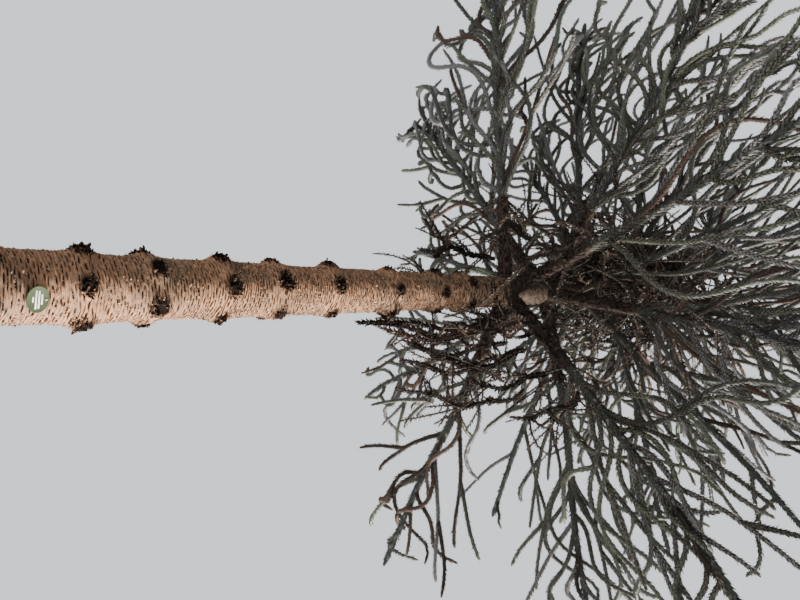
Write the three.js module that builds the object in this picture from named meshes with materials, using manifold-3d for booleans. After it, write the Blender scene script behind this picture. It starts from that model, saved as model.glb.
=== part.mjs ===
// A whole monkey puzzle tree, from the flat cut at ground level to the tip of its leading shoot.
// Lengths are millimetres and angles degrees. +Z is up, and the origin is the middle of the cut
// under the trunk. Azimuths are measured from +X towards +Y.
import * as THREE from "three";
import Module from "manifold-3d";

const wasm = await Module();
wasm.setup();

const GAP = 0.3; // clearance between two pieces that meet
const FINEST = 0.05; // no triangle that a join leaves is thinner than this
const NEAREST = 0.2; // corners of such a triangle that are nearer than this become one
const MOST_SLIVERS = 400;

// The trunk: a taper that quickens upwards, and a lobed flare at the foot
const TRUNK_TOP = 12500;
const TRUNK_SIDES = 15;
const CROWN_RINGS = 6;
const FOOT_RADIUS = 198;
const TAPER_PER_METRE = 11.2;
const TAPER_GROWTH = 0.13;
const FLARE_WIDTH = 95;
const FLARE_HEIGHT = 280;
const FLARE_RINGS = [0, 110, 260, 500, 900, 1600];
const FLARE_LOBES = 5;
const LOBE_DEPTH = 0.13;
const TRUNK_WANDER = 14;

// Whorls of stubs that shed boughs left on the bare trunk: height, and azimuth of the first stub
const KNOT_WHORLS = [
  [2270, -60],
  [2670, -90],
  [3020, -127],
  [3425, -92],
  [3795, -110],
  [4230, -100],
  [4790, -90],
  [5285, -90],
  [5655, -50],
];
const KNOTS_PER_WHORL = 5;
const KNOT_HALF_HEIGHT = 62;
const KNOT_STANDS_OUT = 34;

// The oval name plate that is nailed to the trunk, blank
const PLATE_WIDTH = 125;
const PLATE_HEIGHT = 93;
const PLATE_THICKNESS = 4;
const PLATE_SIDES = 14;
const PLATE_STANDS_OFF = 12;
const PLATE_LEVEL = 2450;
const PLATE_AZIMUTH = -72;
const NAIL_RADIUS = 5;

// The crown: whorls of boughs, flat and drooping at its base and steep at its top
const CROWN_BASE = 6250;
const WHORL_STEP = 620;
const WHORL_BOUGHS = [5, 5, 5, 5, 5, 5, 4, 4, 4, 3];
const TOP_WHORL = CROWN_BASE + WHORL_STEP * (WHORL_BOUGHS.length - 1);
const FIRST_AZIMUTH = -43;
const CROWN_RADIUS = 3250;
const TOP_REACH = 850;
const REACH_POWER = 2.2;
const LOW_RISE = 8;
const TOP_RISE = 52;
const RISE_POWER = 1.4;
const LOW_DROOP = 0.000078; // fall in millimetres for each square millimetre of distance
const LEAST_DROOP = 0.2; // share of that droop on the side away from the heaviest boughs
const DROOP_AZIMUTH = -43; // where the low boughs are heaviest
const SHED_BOUGH = [1, 3]; // whorl and number of the one bough that the lowest whorl has lost
const HALF_LAYER = 290; // how far a mass may reach above and below its own bough, in whorl heights
const SPACE_MARGIN = 48; // kept clear on each side of a mass's wedge

// Boughs: bare, stout limbs of the lowest whorls, which end where their foliage begins
const BARE_WHORLS = 2;
const BOUGH_START = 40; // from the trunk's line, inside the trunk, before it is shaped to it
const BOUGH_END = 820;
const BOUGH_ROOT_RADIUS = 58;
const BOUGH_TIP_RADIUS = 42;
const BOUGH_SIDES = 5;
const BOUGH_STEPS = 3;

// Shoots: ropes of overlapping leaves, whose rings of corners turn from one to the next
const STEM_RADIUS = 40;
const TOP_STEM_RADIUS = 22;
const STEM_START = 20; // from the trunk's line, where there is no bare bough
const STEM_BULGE = 1.1;
const STEM_WAIST = 0.85;
const STEM_SIDES = 4;
const STEM_STEP = 900;
const STEM_SHARE = 0.985; // of the crown's reach
const STEM_WAVER = 40;
const STEM_LIFT = 110;
const SHOOT_RADIUS = 44;
const SHOOT_SIDES = 3;
const SHOOT_WAIST = 0.55; // a rope's narrow rings against its wide ones
const TOOTH_LEAN = 0.3; // how far a wide ring is set on towards the next narrow one
const TOOTH_STEP = 620;
const LONGEST_SHOOT = 1450;
const FIRST_SHOOT = 300; // no side shoot leaves a stem nearer the trunk's line than this
const SPREAD_AT_ROOT = 54;
const SPREAD_AT_TIP = 12;
const SHOOTS_IN_LOW_MASS = 7;
const SHOOTS_IN_TOP_MASS = 3;
const FORK_FROM = 1230; // a shoot this long carries a second one
const SEED = 7951;

// The leading shoot and the short whorl round it
const LEADER_TIP = 13200;
const LEADER_SHOOTS = 5;
const LEADER_REACH = 400;
const LEADER_STEPS = 4;
const LEADER_LEAN = 45; // how far the leading shoot's tip stands out of plumb
const LEADER_AZIMUTH = 23;
const LEADER_SHOOT_START = 90;
const LEADER_SHOOT_STEP = 45;

const COLOURS = {
  bark: 0x9a7c63,
  bough: 0x4a3f34,
  foliage: 0x2f3d2a,
  plate: 0x5d6f52,
};

const radians = (degrees) => THREE.MathUtils.degToRad(degrees);
const lerp = THREE.MathUtils.lerp;
const clamp = THREE.MathUtils.clamp;

/** A repeatable stream of numbers from 0 up to 1. */
function numberStream(seed) {
  let state = seed >>> 0;
  const next = () => {
    state = (Math.imul(1664525, state) + 1013904223) >>> 0;
    return state / 4294967296;
  };
  for (let warmUp = 0; warmUp < 4; warmUp += 1) next();
  return next;
}

/** A number between low and high from a stream. */
const between = (stream, low, high) => low + (high - low) * stream();

/** A point at a distance and azimuth from the trunk's line. */
function polar(distance, azimuth, height) {
  const a = radians(azimuth);
  return new THREE.Vector3(distance * Math.cos(a), distance * Math.sin(a), height);
}

/** Closed surface to solid. */
function solid(corners, triangles) {
  const vertices = new Float32Array(corners.flatMap((p) => [p.x, p.y, p.z]));
  const faces = new Uint32Array(triangles.flat());
  return new wasm.Manifold(new wasm.Mesh({ numProp: 3, vertProperties: vertices, triVerts: faces }));
}

/** A triangle's edges with their lengths, the longest first, and its height over that one. */
function shapeOf(corners, [a, b, c]) {
  const edges = [[a, b], [b, c], [c, a]]
    .map(([from, to]) => ({ from, to, length: corners[from].distanceTo(corners[to]) }))
    .sort((one, other) => other.length - one.length);
  const [u, v] = [b, c].map((corner) => corners[corner].clone().sub(corners[a]));
  return { edges, height: u.cross(v).length() / Math.max(edges[0].length, Number.EPSILON) };
}

/** Triangles without those that have closed up, and without pairs that lie back to back. */
function unfolded(triangles) {
  const open = triangles.filter(([a, b, c]) => a !== b && b !== c && c !== a);
  const key = (triangle) => [...triangle].sort((a, b) => a - b).join();
  const uses = new Map();
  open.forEach((triangle) => uses.set(key(triangle), (uses.get(key(triangle)) ?? 0) + 1));
  return open.filter((triangle) => uses.get(key(triangle)) === 1);
}

/** Triangles with one sliver less: its shortest edge closes up, or its longest is turned. */
function withoutSliver(corners, triangles, sliver) {
  const { edges } = shapeOf(corners, triangles[sliver]);
  const { from, to } = edges[0];
  const shortest = edges[2];
  if (shortest.length < NEAREST) {
    const closed = (corner) => (corner === shortest.to ? shortest.from : corner);
    return unfolded(triangles.map((triangle) => triangle.map(closed)));
  }
  const beside = triangles.findIndex((triangle) =>
    triangle.some((corner, i) => corner === to && triangle[(i + 1) % 3] === from),
  );
  const other = (triangle) => triangle.find((corner) => corner !== from && corner !== to);
  const [near, far] = [other(triangles[sliver]), other(triangles[beside])];
  const rest = triangles.filter((_, i) => i !== sliver && i !== beside);
  return unfolded([...rest, [near, from, far], [far, to, near]]);
}

/** A joined solid with its slivers closed up, and without the scraps that this leaves. */
function withoutSlivers(manifold) {
  const data = manifold.asOriginal().simplify(FINEST).getMesh();
  const corners = Array.from({ length: data.vertProperties.length / 3 }, (_, i) =>
    new THREE.Vector3().fromArray(data.vertProperties, 3 * i),
  );
  let triangles = Array.from({ length: data.triVerts.length / 3 }, (_, i) =>
    Array.from(data.triVerts.subarray(3 * i, 3 * i + 3)),
  );
  for (let turn = 0; turn < MOST_SLIVERS; turn += 1) {
    const sliver = triangles.findIndex((triangle) => shapeOf(corners, triangle).height < FINEST);
    if (sliver < 0) break;
    triangles = withoutSliver(corners, triangles, sliver);
  }
  const bodies = solid(corners, triangles).decompose();
  return bodies.sort((one, other) => other.volume() - one.volume())[0];
}

/** Solid to a named mesh. */
function mesh(name, manifold, colour, roughness) {
  const data = withoutSlivers(manifold).getMesh();
  const geometry = new THREE.BufferGeometry();
  geometry.setAttribute("position", new THREE.BufferAttribute(data.vertProperties, 3));
  geometry.setIndex(new THREE.BufferAttribute(data.triVerts, 1));
  geometry.computeVertexNormals();
  const made = new THREE.Mesh(
    geometry,
    new THREE.MeshStandardMaterial({ color: colour, roughness, metalness: 0 }),
  );
  made.name = name;
  return made;
}

/** Stacks rings of corners into a closed solid, with a flat first end and a flat or pointed last end. */
function loft(rings, tip = null) {
  const sides = rings[0].length;
  const corners = rings.flat();
  const triangles = [];
  for (let k = 2; k < sides; k += 1) triangles.push([0, k, k - 1]);
  for (let i = 1; i < rings.length; i += 1) {
    for (let k = 0; k < sides; k += 1) {
      const next = (k + 1) % sides;
      const [a, b] = [(i - 1) * sides + k, (i - 1) * sides + next];
      const [c, d] = [i * sides + k, i * sides + next];
      triangles.push([a, b, c], [b, d, c]);
    }
  }
  const last = (rings.length - 1) * sides;
  if (tip) {
    corners.push(tip);
    for (let k = 0; k < sides; k += 1) {
      triangles.push([last + k, last + ((k + 1) % sides), corners.length - 1]);
    }
  } else {
    for (let k = 2; k < sides; k += 1) triangles.push([last, last + k - 1, last + k]);
  }
  return solid(corners, triangles);
}

/** Direction of a line of points at each of them. */
function tangents(points) {
  return points.map((_, i) => {
    const before = points[Math.max(i - 1, 0)];
    const after = points[Math.min(i + 1, points.length - 1)];
    return after.clone().sub(before).normalize();
  });
}

/**
 * A tube along a line of points, with a radius for each. Each ring is turned by half a side
 * against the one before where the tube is a rope, so that its corners stand out like leaf tips.
 * A first or last direction, where given, squares that end to it.
 */
function tube(points, radii, sides, { rope = false, pointed = false, first, last } = {}) {
  const along = tangents(points);
  if (first) along[0] = first;
  if (last) along[along.length - 1] = last;
  const across = new THREE.Vector3(0, 0, 1).cross(along[0]);
  if (across.length() < 0.1) across.set(1, 0, 0).cross(along[0]);
  across.normalize();
  const rings = [];
  points.forEach((point, i) => {
    if (i) {
      const turn = new THREE.Quaternion().setFromUnitVectors(along[i - 1], along[i]);
      across.applyQuaternion(turn);
    }
    if (pointed && i === points.length - 1) return;
    const up = along[i].clone().cross(across);
    const offset = rope ? (Math.PI * i) / sides : 0;
    const ring = [];
    for (let k = 0; k < sides; k += 1) {
      const angle = (2 * Math.PI * k) / sides + offset;
      ring.push(
        point
          .clone()
          .addScaledVector(across, radii[i] * Math.cos(angle))
          .addScaledVector(up, radii[i] * Math.sin(angle)),
      );
    }
    rings.push(ring);
  });
  return loft(rings, pointed ? points[points.length - 1] : null);
}

/** Radius of the trunk at a height and azimuth. */
function trunkRadius(height, azimuth) {
  const metres = height / 1000;
  const flare = Math.exp(-height / FLARE_HEIGHT);
  const plain = FOOT_RADIUS - TAPER_PER_METRE * metres - TAPER_GROWTH * metres * metres;
  const lobe = 1 + LOBE_DEPTH * flare * Math.cos(radians(FLARE_LOBES * azimuth));
  return (plain + FLARE_WIDTH * flare) * lobe;
}

/** How far the trunk's middle strays from a plumb line at a height. */
function trunkStray(height) {
  const turn = (2 * Math.PI * height) / TRUNK_TOP;
  return new THREE.Vector3(Math.sin(turn), 1 - Math.cos(turn), 0).multiplyScalar(TRUNK_WANDER);
}

/** A ring of the trunk's corners, with the stubs of a whorl standing out of it where one is given. */
function trunkRing(height, margin, firstKnot = null) {
  const facet = 360 / TRUNK_SIDES;
  const knotStep = TRUNK_SIDES / KNOTS_PER_WHORL;
  const knotCorner = firstKnot === null ? null : Math.round(firstKnot / facet);
  return Array.from({ length: TRUNK_SIDES }, (_, k) => {
    const azimuth = facet * k;
    const round = (trunkRadius(height, azimuth) + margin) / Math.cos(Math.PI / TRUNK_SIDES);
    const isKnot = knotCorner !== null && (k - knotCorner) % knotStep === 0;
    return polar(round + (isKnot ? KNOT_STANDS_OUT : 0), azimuth, height).add(trunkStray(height));
  });
}

/** The trunk from its foot to the leading shoot, grown outwards by a margin. */
function trunk(margin = 0) {
  const rings = FLARE_RINGS.map((height) => trunkRing(height, margin));
  for (const [height, azimuth] of KNOT_WHORLS) {
    rings.push(trunkRing(height - KNOT_HALF_HEIGHT, margin));
    rings.push(trunkRing(height, margin, azimuth));
    rings.push(trunkRing(height + KNOT_HALF_HEIGHT, margin));
  }
  for (let i = 1; i <= CROWN_RINGS; i += 1) {
    rings.push(trunkRing(lerp(CROWN_BASE, TRUNK_TOP, i / CROWN_RINGS), margin));
  }
  return loft(rings);
}

/** The name plate, a thin oval on the head of one nail that ends just clear of the bark. */
function plate() {
  const out = polar(1, PLATE_AZIMUTH, 0);
  const side = polar(1, PLATE_AZIMUTH + 90, 0);
  const foot = trunkRadius(PLATE_LEVEL, PLATE_AZIMUTH) / Math.cos(Math.PI / TRUNK_SIDES) + GAP;
  const middle = trunkStray(PLATE_LEVEL).setZ(PLATE_LEVEL);
  const oval = (distance) =>
    Array.from({ length: PLATE_SIDES }, (_, k) => {
      const angle = (2 * Math.PI * k) / PLATE_SIDES;
      return middle
        .clone()
        .addScaledVector(out, distance)
        .addScaledVector(side, (PLATE_WIDTH / 2) * Math.cos(angle))
        .add(new THREE.Vector3(0, 0, (PLATE_HEIGHT / 2) * Math.sin(angle)));
    });
  const stand = foot + PLATE_STANDS_OFF;
  const nail = tube(
    [foot, stand + PLATE_THICKNESS / 2].map((d) => middle.clone().addScaledVector(out, d)),
    [NAIL_RADIUS, NAIL_RADIUS],
    6,
  );
  return loft([oval(stand), oval(stand + PLATE_THICKNESS)]).add(nail);
}

/** How high up the crown a whorl is, from 0 at its lowest whorl to 1 at its highest. */
const crownShare = (level) => (level - CROWN_BASE) / (TOP_WHORL - CROWN_BASE);

/** How far from the trunk the foliage of a whorl reaches. */
function reachOf(level) {
  const share = clamp(crownShare(level), 0, 1);
  return TOP_REACH + (CROWN_RADIUS - TOP_REACH) * (1 - share ** REACH_POWER);
}

/** A point on the boughs of a level, at a distance and azimuth from the trunk's line. */
function crownPoint(level, distance, azimuth) {
  const share = crownShare(level);
  const steepness = Math.max(share, 0) ** RISE_POWER;
  const rise = lerp(Math.tan(radians(LOW_RISE)), Math.tan(radians(TOP_RISE)), steepness);
  const heavySide = (1 + Math.cos(radians(azimuth - DROOP_AZIMUTH))) / 2;
  const droop = LOW_DROOP * Math.max(1 - share, 0) * lerp(LEAST_DROOP, 1, heavySide);
  return polar(distance, azimuth, level + rise * distance - droop * distance * distance);
}

/** Direction of a bough's line at a distance from the trunk's line. */
function boughDirection(place, distance) {
  const before = crownPoint(place.level, distance - 1, place.azimuth);
  const after = crownPoint(place.level, distance + 1, place.azimuth);
  return after.sub(before).normalize();
}

/** The bare limb of a bough, with its foot shaped to the trunk. */
function bough(place, trunkSpace) {
  const points = [];
  const radii = [];
  for (let i = 0; i <= BOUGH_STEPS; i += 1) {
    const share = i / BOUGH_STEPS;
    points.push(crownPoint(place.level, lerp(BOUGH_START, BOUGH_END, share), place.azimuth));
    radii.push(lerp(BOUGH_ROOT_RADIUS, BOUGH_TIP_RADIUS, Math.sqrt(share)));
  }
  const last = boughDirection(place, BOUGH_END);
  return tube(points, radii, BOUGH_SIDES, { last }).subtract(trunkSpace);
}

/** The wedge and layer of the crown that one mass of foliage keeps to. */
class Space {
  constructor(level, azimuth, halfWedge) {
    this.level = level;
    this.azimuth = azimuth;
    this.halfWedge = radians(halfWedge);
    this.reach = reachOf(level);
  }

  /** A point from its distance along the bough, sideways from it, and up or down in the layer. */
  point(along, aside, lift) {
    const distance = Math.hypot(along, aside);
    const azimuth = this.azimuth + THREE.MathUtils.radToDeg(Math.atan2(aside, along));
    return crownPoint(this.level + clamp(lift, -HALF_LAYER, HALF_LAYER), distance, azimuth);
  }

  /** Whether a place along and aside is inside the wedge and the crown's reach. */
  holds(along, aside) {
    const distance = Math.hypot(along, aside);
    const room = distance * Math.sin(this.halfWedge - Math.abs(Math.atan2(aside, along)));
    return room > SPACE_MARGIN && distance < this.reach;
  }
}

/**
 * The line of a side shoot: it leaves at a wide angle, bends to run with its bough, and lifts or
 * hangs as it goes. It stops where it would leave the mass's space.
 */
function shootLine(space, start, heading, length, bend, lift) {
  const steps = 2 * Math.max(1, Math.round(length / TOOTH_STEP));
  const line = [{ ...start, heading }];
  for (let i = 1; i <= steps; i += 1) {
    const share = i / steps;
    const step = (length / steps) * (1 + (i % 2 ? TOOTH_LEAN : -TOOTH_LEAN));
    const before = line[i - 1];
    const turned = heading + (bend - heading) * Math.sqrt(share);
    const along = before.along + step * Math.cos(radians(turned));
    const aside = before.aside + step * Math.sin(radians(turned));
    if (!space.holds(along, aside)) break;
    line.push({ along, aside, lift: start.lift + lift * share * share, heading: turned });
  }
  return line;
}

/** Solid rope along a line of places. */
function rope(space, line, radius, sides) {
  const points = line.map((p) => space.point(p.along, p.aside, p.lift));
  const radii = points.map((_, i) => {
    const share = i / (points.length - 1);
    return radius * lerp(1, 0.72, share) * (i % 2 ? 1 : SHOOT_WAIST);
  });
  return tube(points, radii, sides, { rope: true, pointed: true });
}

/** The line of a mass's stem, which wavers a little and turns up at its tip. */
function stemLine(space, from, stream) {
  const reach = space.reach * STEM_SHARE;
  const steps = 2 * Math.max(2, Math.round((reach - from) / STEM_STEP));
  const phase = between(stream, 0, 2 * Math.PI);
  return Array.from({ length: steps + 1 }, (_, i) => {
    const share = i / steps;
    const along = lerp(from, reach, share);
    const aside = STEM_WAVER * share * Math.sin(phase + 2 * Math.PI * share);
    return { along, aside, lift: STEM_LIFT * share ** 3, heading: 0 };
  });
}

/** The place on a stem's line at a distance along the bough. */
function placeOn(line, along) {
  const i = clamp(line.findIndex((place) => place.along > along), 1, line.length - 1);
  const [a, b] = [line[i - 1], line[i]];
  const share = (along - a.along) / (b.along - a.along);
  return { along, aside: lerp(a.aside, b.aside, share), lift: lerp(a.lift, b.lift, share) };
}

/** The side shoots of a mass, by the seeded rule, with the forks of the long ones. */
function sideShoots(space, stem, from, stream) {
  const share = crownShare(space.level);
  const count = Math.round(lerp(SHOOTS_IN_LOW_MASS, SHOOTS_IN_TOP_MASS, share));
  const shortening = Math.cos(Math.atan(lerp(0.1, 1, share)));
  const lines = [];
  for (let i = 0; i < count; i += 1) {
    const side = i % 2 ? -1 : 1;
    const along = lerp(from, space.reach * 0.86, (i + between(stream, 0.2, 0.8)) / count);
    const room = (space.reach - along) * 1.05 + 160;
    const length = Math.min(LONGEST_SHOOT, room) * between(stream, 0.85, 1.05) * shortening;
    const heading = side * (SPREAD_AT_ROOT + between(stream, -7, 7));
    const bend = side * (SPREAD_AT_TIP + between(stream, -10, 14));
    const lift = between(stream, -0.75, 1) * HALF_LAYER;
    const line = shootLine(space, placeOn(stem, along), heading, length, bend, lift);
    if (line.length < 3) continue;
    if (line.length % 2 === 0) line.pop();
    lines.push(line);
    const forkSide = between(stream, 0, 1) < 0.5 ? -1 : 1;
    const forkLift = between(stream, -0.6, 0.8) * HALF_LAYER;
    if (length < FORK_FROM || line.length < 4) continue;
    const fork = line[Math.floor(line.length / 2)];
    const forkHeading = fork.heading + forkSide * 42;
    const forkBend = fork.heading + forkSide * 14;
    const branch = shootLine(space, fork, forkHeading, length * 0.5, forkBend, forkLift - fork.lift);
    if (branch.length === 3) lines.push(branch);
  }
  return lines;
}

/** One mass of foliage: a leafy stem along the bough's line, and its side shoots. */
function foliage(space, from, stemRadius, stream) {
  const stem = stemLine(space, from, stream);
  const radii = stem.map((_, i) => {
    const plain = lerp(stemRadius, SHOOT_RADIUS * 0.8, i / (stem.length - 1));
    if (i === 0) return plain;
    return plain * (i % 2 ? STEM_BULGE : STEM_WAIST);
  });
  const points = stem.map((p) => space.point(p.along, p.aside, p.lift));
  const first = boughDirection(space, from);
  const pieces = [tube(points, radii, STEM_SIDES, { rope: true, pointed: true, first })];
  for (const line of sideShoots(space, stem, Math.max(from, FIRST_SHOOT) + 60, stream)) {
    pieces.push(rope(space, line, SHOOT_RADIUS, SHOOT_SIDES));
  }
  return wasm.Manifold.union(pieces);
}

/** The upright leading shoot with its own short whorl. */
function leader(stream) {
  const base = trunkStray(TRUNK_TOP);
  const line = Array.from({ length: LEADER_STEPS + 1 }, (_, i) => {
    const share = i / LEADER_STEPS;
    const height = lerp(TRUNK_TOP + GAP, LEADER_TIP, share);
    return polar(LEADER_LEAN * share * share, LEADER_AZIMUTH, height).add(base);
  });
  const radii = line.map((_, i) => SHOOT_RADIUS * (i % 2 ? 1 : 0.75));
  const first = new THREE.Vector3(0, 0, 1);
  const pieces = [tube(line, radii, STEM_SIDES, { rope: true, pointed: true, first })];
  for (let k = 0; k < LEADER_SHOOTS; k += 1) {
    const azimuth = LEADER_AZIMUTH + (360 * k) / LEADER_SHOOTS + between(stream, -12, 12);
    const height = TRUNK_TOP + LEADER_SHOOT_START + LEADER_SHOOT_STEP * k;
    const points = [0, 0.35, 0.7, 1].map((share) =>
      polar(LEADER_REACH * share, azimuth, height + LEADER_REACH * share * (0.5 + 0.5 * share)),
    );
    const sizes = [0.7, 1, 0.7, 1].map((waist) => waist * SHOOT_RADIUS * 0.85);
    pieces.push(tube(points, sizes, SHOOT_SIDES, { rope: true, pointed: true }));
  }
  return wasm.Manifold.union(pieces);
}

/** Every bough's level, azimuth and half wedge, whorl by whorl, but for the one that was shed. */
function boughPlaces() {
  const places = WHORL_BOUGHS.flatMap((count, i) =>
    Array.from({ length: count }, (_, k) => ({
      whorl: i + 1,
      number: k + 1,
      level: CROWN_BASE + WHORL_STEP * i,
      azimuth: FIRST_AZIMUTH + (360 / count) * (k + (i % 2) / 2),
      halfWedge: 180 / count,
    })),
  );
  const [shedWhorl, shedNumber] = SHED_BOUGH;
  return places.filter((place) => place.whorl !== shedWhorl || place.number !== shedNumber);
}

/** The tree as a group of named meshes. */
function monkeyPuzzle() {
  const tree = new THREE.Group();
  const trunkSpace = trunk(GAP);
  tree.add(mesh("trunk", trunk(), COLOURS.bark, 0.9));
  tree.add(mesh("name_plate", plate(), COLOURS.plate, 0.5));
  boughPlaces().forEach((place, index) => {
    const tag = `${place.whorl}_${place.number}`;
    const stream = numberStream(SEED + 31 * (index + 1));
    const space = new Space(place.level, place.azimuth, place.halfWedge);
    if (place.whorl <= BARE_WHORLS) {
      tree.add(mesh(`bough_${tag}`, bough(place, trunkSpace), COLOURS.bough, 0.9));
      const mass = foliage(space, BOUGH_END + GAP, BOUGH_TIP_RADIUS, stream);
      tree.add(mesh(`foliage_${tag}`, mass, COLOURS.foliage, 0.6));
    } else {
      const stemRadius = lerp(STEM_RADIUS, TOP_STEM_RADIUS, crownShare(place.level));
      const mass = foliage(space, STEM_START, stemRadius, stream).subtract(trunkSpace);
      tree.add(mesh(`foliage_${tag}`, mass, COLOURS.foliage, 0.6));
    }
  });
  const leadingShoot = leader(numberStream(SEED + 1));
  tree.add(mesh("leading_shoot", leadingShoot, COLOURS.foliage, 0.6));
  return tree;
}

export default monkeyPuzzle();
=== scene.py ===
"""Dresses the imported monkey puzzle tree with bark, boughs, leafy shoots and its name plate.

Lengths are metres, +Z is up, and azimuths are degrees from +X towards +Y. Boughs and shoots grow
by the rule that the solids grow by, with the same repeatable numbers, and go on to finer shoots.
"""

import logging
import math
from collections.abc import Callable, Iterator
from dataclasses import dataclass
from enum import Enum

import bpy
import numpy as np
from mathutils import Matrix, Vector


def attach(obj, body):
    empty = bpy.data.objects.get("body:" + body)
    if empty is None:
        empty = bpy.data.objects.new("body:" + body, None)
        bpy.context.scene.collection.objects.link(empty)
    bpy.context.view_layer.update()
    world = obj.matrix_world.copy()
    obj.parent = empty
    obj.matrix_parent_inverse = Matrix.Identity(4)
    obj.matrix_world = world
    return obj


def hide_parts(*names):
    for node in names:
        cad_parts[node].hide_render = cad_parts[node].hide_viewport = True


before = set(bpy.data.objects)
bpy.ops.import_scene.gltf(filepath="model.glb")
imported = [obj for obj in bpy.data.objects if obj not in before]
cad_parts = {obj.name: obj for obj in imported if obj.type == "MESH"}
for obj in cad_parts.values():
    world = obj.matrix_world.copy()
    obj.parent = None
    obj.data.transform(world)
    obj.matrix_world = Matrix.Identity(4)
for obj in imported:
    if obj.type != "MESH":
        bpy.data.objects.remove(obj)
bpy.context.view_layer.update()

Array = np.ndarray
Surface = Callable[[Array, Array], tuple[Array, dict[str, Array]]]
log = logging.getLogger("monkey_puzzle")

# Values that more than one piece goes by

BODY = "root"
UP = np.array([0.0, 0.0, 1.0])
GOLDEN_ANGLE = math.radians(137.508)
EYE = (0.073, -3.3, 1.5)  # where the camera stands
PLATE_LEVEL = 2.45
PLATE_AZIMUTH = -72.0
SEAM_GAP = 1e-6  # corners nearer together than this become one
SMOOTH_ANGLE = math.radians(50)  # edges of bark sharper than this stay sharp
BEVEL_SMOOTH_ANGLE = math.radians(40)
BEVEL_STEPS = 2
LEAF_BELLY = 0.34  # share of its length at which a leaf is widest
LEAF_KEEL = 0.35  # depth of a leaf's keel there, as a share of half its width


# Repeatable numbers


class NumberStream:
    """The repeatable numbers from 0 up to 1 that the solids are grown with."""

    factor = 1664525
    addend = 1013904223
    whole = 2**32
    passed_over = 4

    def __init__(self, seed: int) -> None:
        """Starts a stream from a whole number."""
        self.state = seed % self.whole
        for _ in range(self.passed_over):
            self.next()

    def next(self) -> float:
        """The next number of the stream."""
        self.state = (self.factor * self.state + self.addend) % self.whole
        return self.state / self.whole

    def between(self, low: float, high: float) -> float:
        """The next number, spread between two limits."""
        return low + (high - low) * self.next()


def blend(a: float | Array, b: float | Array, share: float | Array) -> float | Array:
    """The value that lies a share of the way from a to b."""
    return a + (b - a) * share


def nearest(value: float) -> int:
    """A number rounded to the nearest whole one, halves upwards."""
    return math.floor(value + 0.5)


def stray(numbers: np.random.Generator, most: float, size: int | tuple | None = None) -> float | Array:
    """A random distance to either side of nought."""
    return numbers.uniform(-most, most, size)


def polar(distance: Array, azimuth: Array, height: Array) -> Array:
    """Points from their distance and azimuth round the trunk's line, and their height.

    Args:
        distance: Distance from the trunk's line.
        azimuth: Azimuth, in degrees.
        height: Height.

    Returns:
        Points, in the shape of the three together.
    """
    angle = np.radians(azimuth)
    sides = distance * np.cos(angle), distance * np.sin(angle), height
    return np.stack(np.broadcast_arrays(*sides), axis=-1)


def skyward(azimuth: float, rise: float) -> Array:
    """The direction at an azimuth and a height over the horizon, in degrees."""
    lift = math.radians(rise)
    return polar(math.cos(lift), azimuth, math.sin(lift))


def outward_and_aside(azimuth: Array) -> tuple[Array, Array]:
    """The level directions away from the trunk's line at an azimuth, and round it."""
    return polar(1.0, azimuth, 0.0), polar(1.0, azimuth + 90, 0.0)


@dataclass(frozen=True)
class Waves:
    """Smooth waves over a round surface, which join up all the way round.

    The turns are the fewest and most waves round the surface, and the pitch is the shortest
    distance from wave to wave along its height.
    """

    depth: float
    seed: int
    turns: tuple[int, int]
    pitch: float
    count: int = 7

    def at(self, turn: Array, height: Array, share: float | Array = 1.0) -> Array:
        """How far the waves stand out.

        Args:
            turn: Angle round the surface, in radians.
            height: Height on the surface.
            share: Share of their depth that they have there.

        Returns:
            Values from about -depth to depth, of the shape of turn and height together.
        """
        numbers = np.random.default_rng(self.seed)
        total = np.zeros(np.broadcast(turn, height).shape)
        for _ in range(self.count):
            around = numbers.integers(self.turns[0], self.turns[1] + 1)
            along = numbers.uniform(-2.0, 2.0) * math.pi / self.pitch
            total += np.cos(around * turn + along * height + numbers.uniform(0, 2 * math.pi))
        return self.depth * share * (total / math.sqrt(self.count))


# Shader nodes


@dataclass(frozen=True)
class Signal:
    """A socket's value in a material, whose operators add Math nodes."""

    shader: "Shader"
    socket: bpy.types.NodeSocket

    def maths(self, operation: str, *values: "Signal | float") -> "Signal":
        """The outcome of one Math node on some values."""
        sockets = dict(enumerate(values))
        return self.shader.signal("ShaderNodeMath", {"operation": operation}, sockets)

    def __add__(self, other: "Signal | float") -> "Signal":
        """Sum with another value."""
        return self.maths("ADD", self, other)

    def __radd__(self, other: float) -> "Signal":
        """Sum with a number before it."""
        return self.maths("ADD", other, self)

    def __mul__(self, other: "Signal | float") -> "Signal":
        """Product with another value."""
        return self.maths("MULTIPLY", self, other)

    def __rmul__(self, other: float) -> "Signal":
        """Product with a number before it."""
        return self.maths("MULTIPLY", other, self)


@dataclass(frozen=True)
class Cloud:
    """A cloud pattern: how fine it is, its stretch along X, Y and Z, and how detailed it is."""

    scale: float
    stretch: tuple = (1.0, 1.0, 1.0)
    detail: float = 4.0


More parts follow.
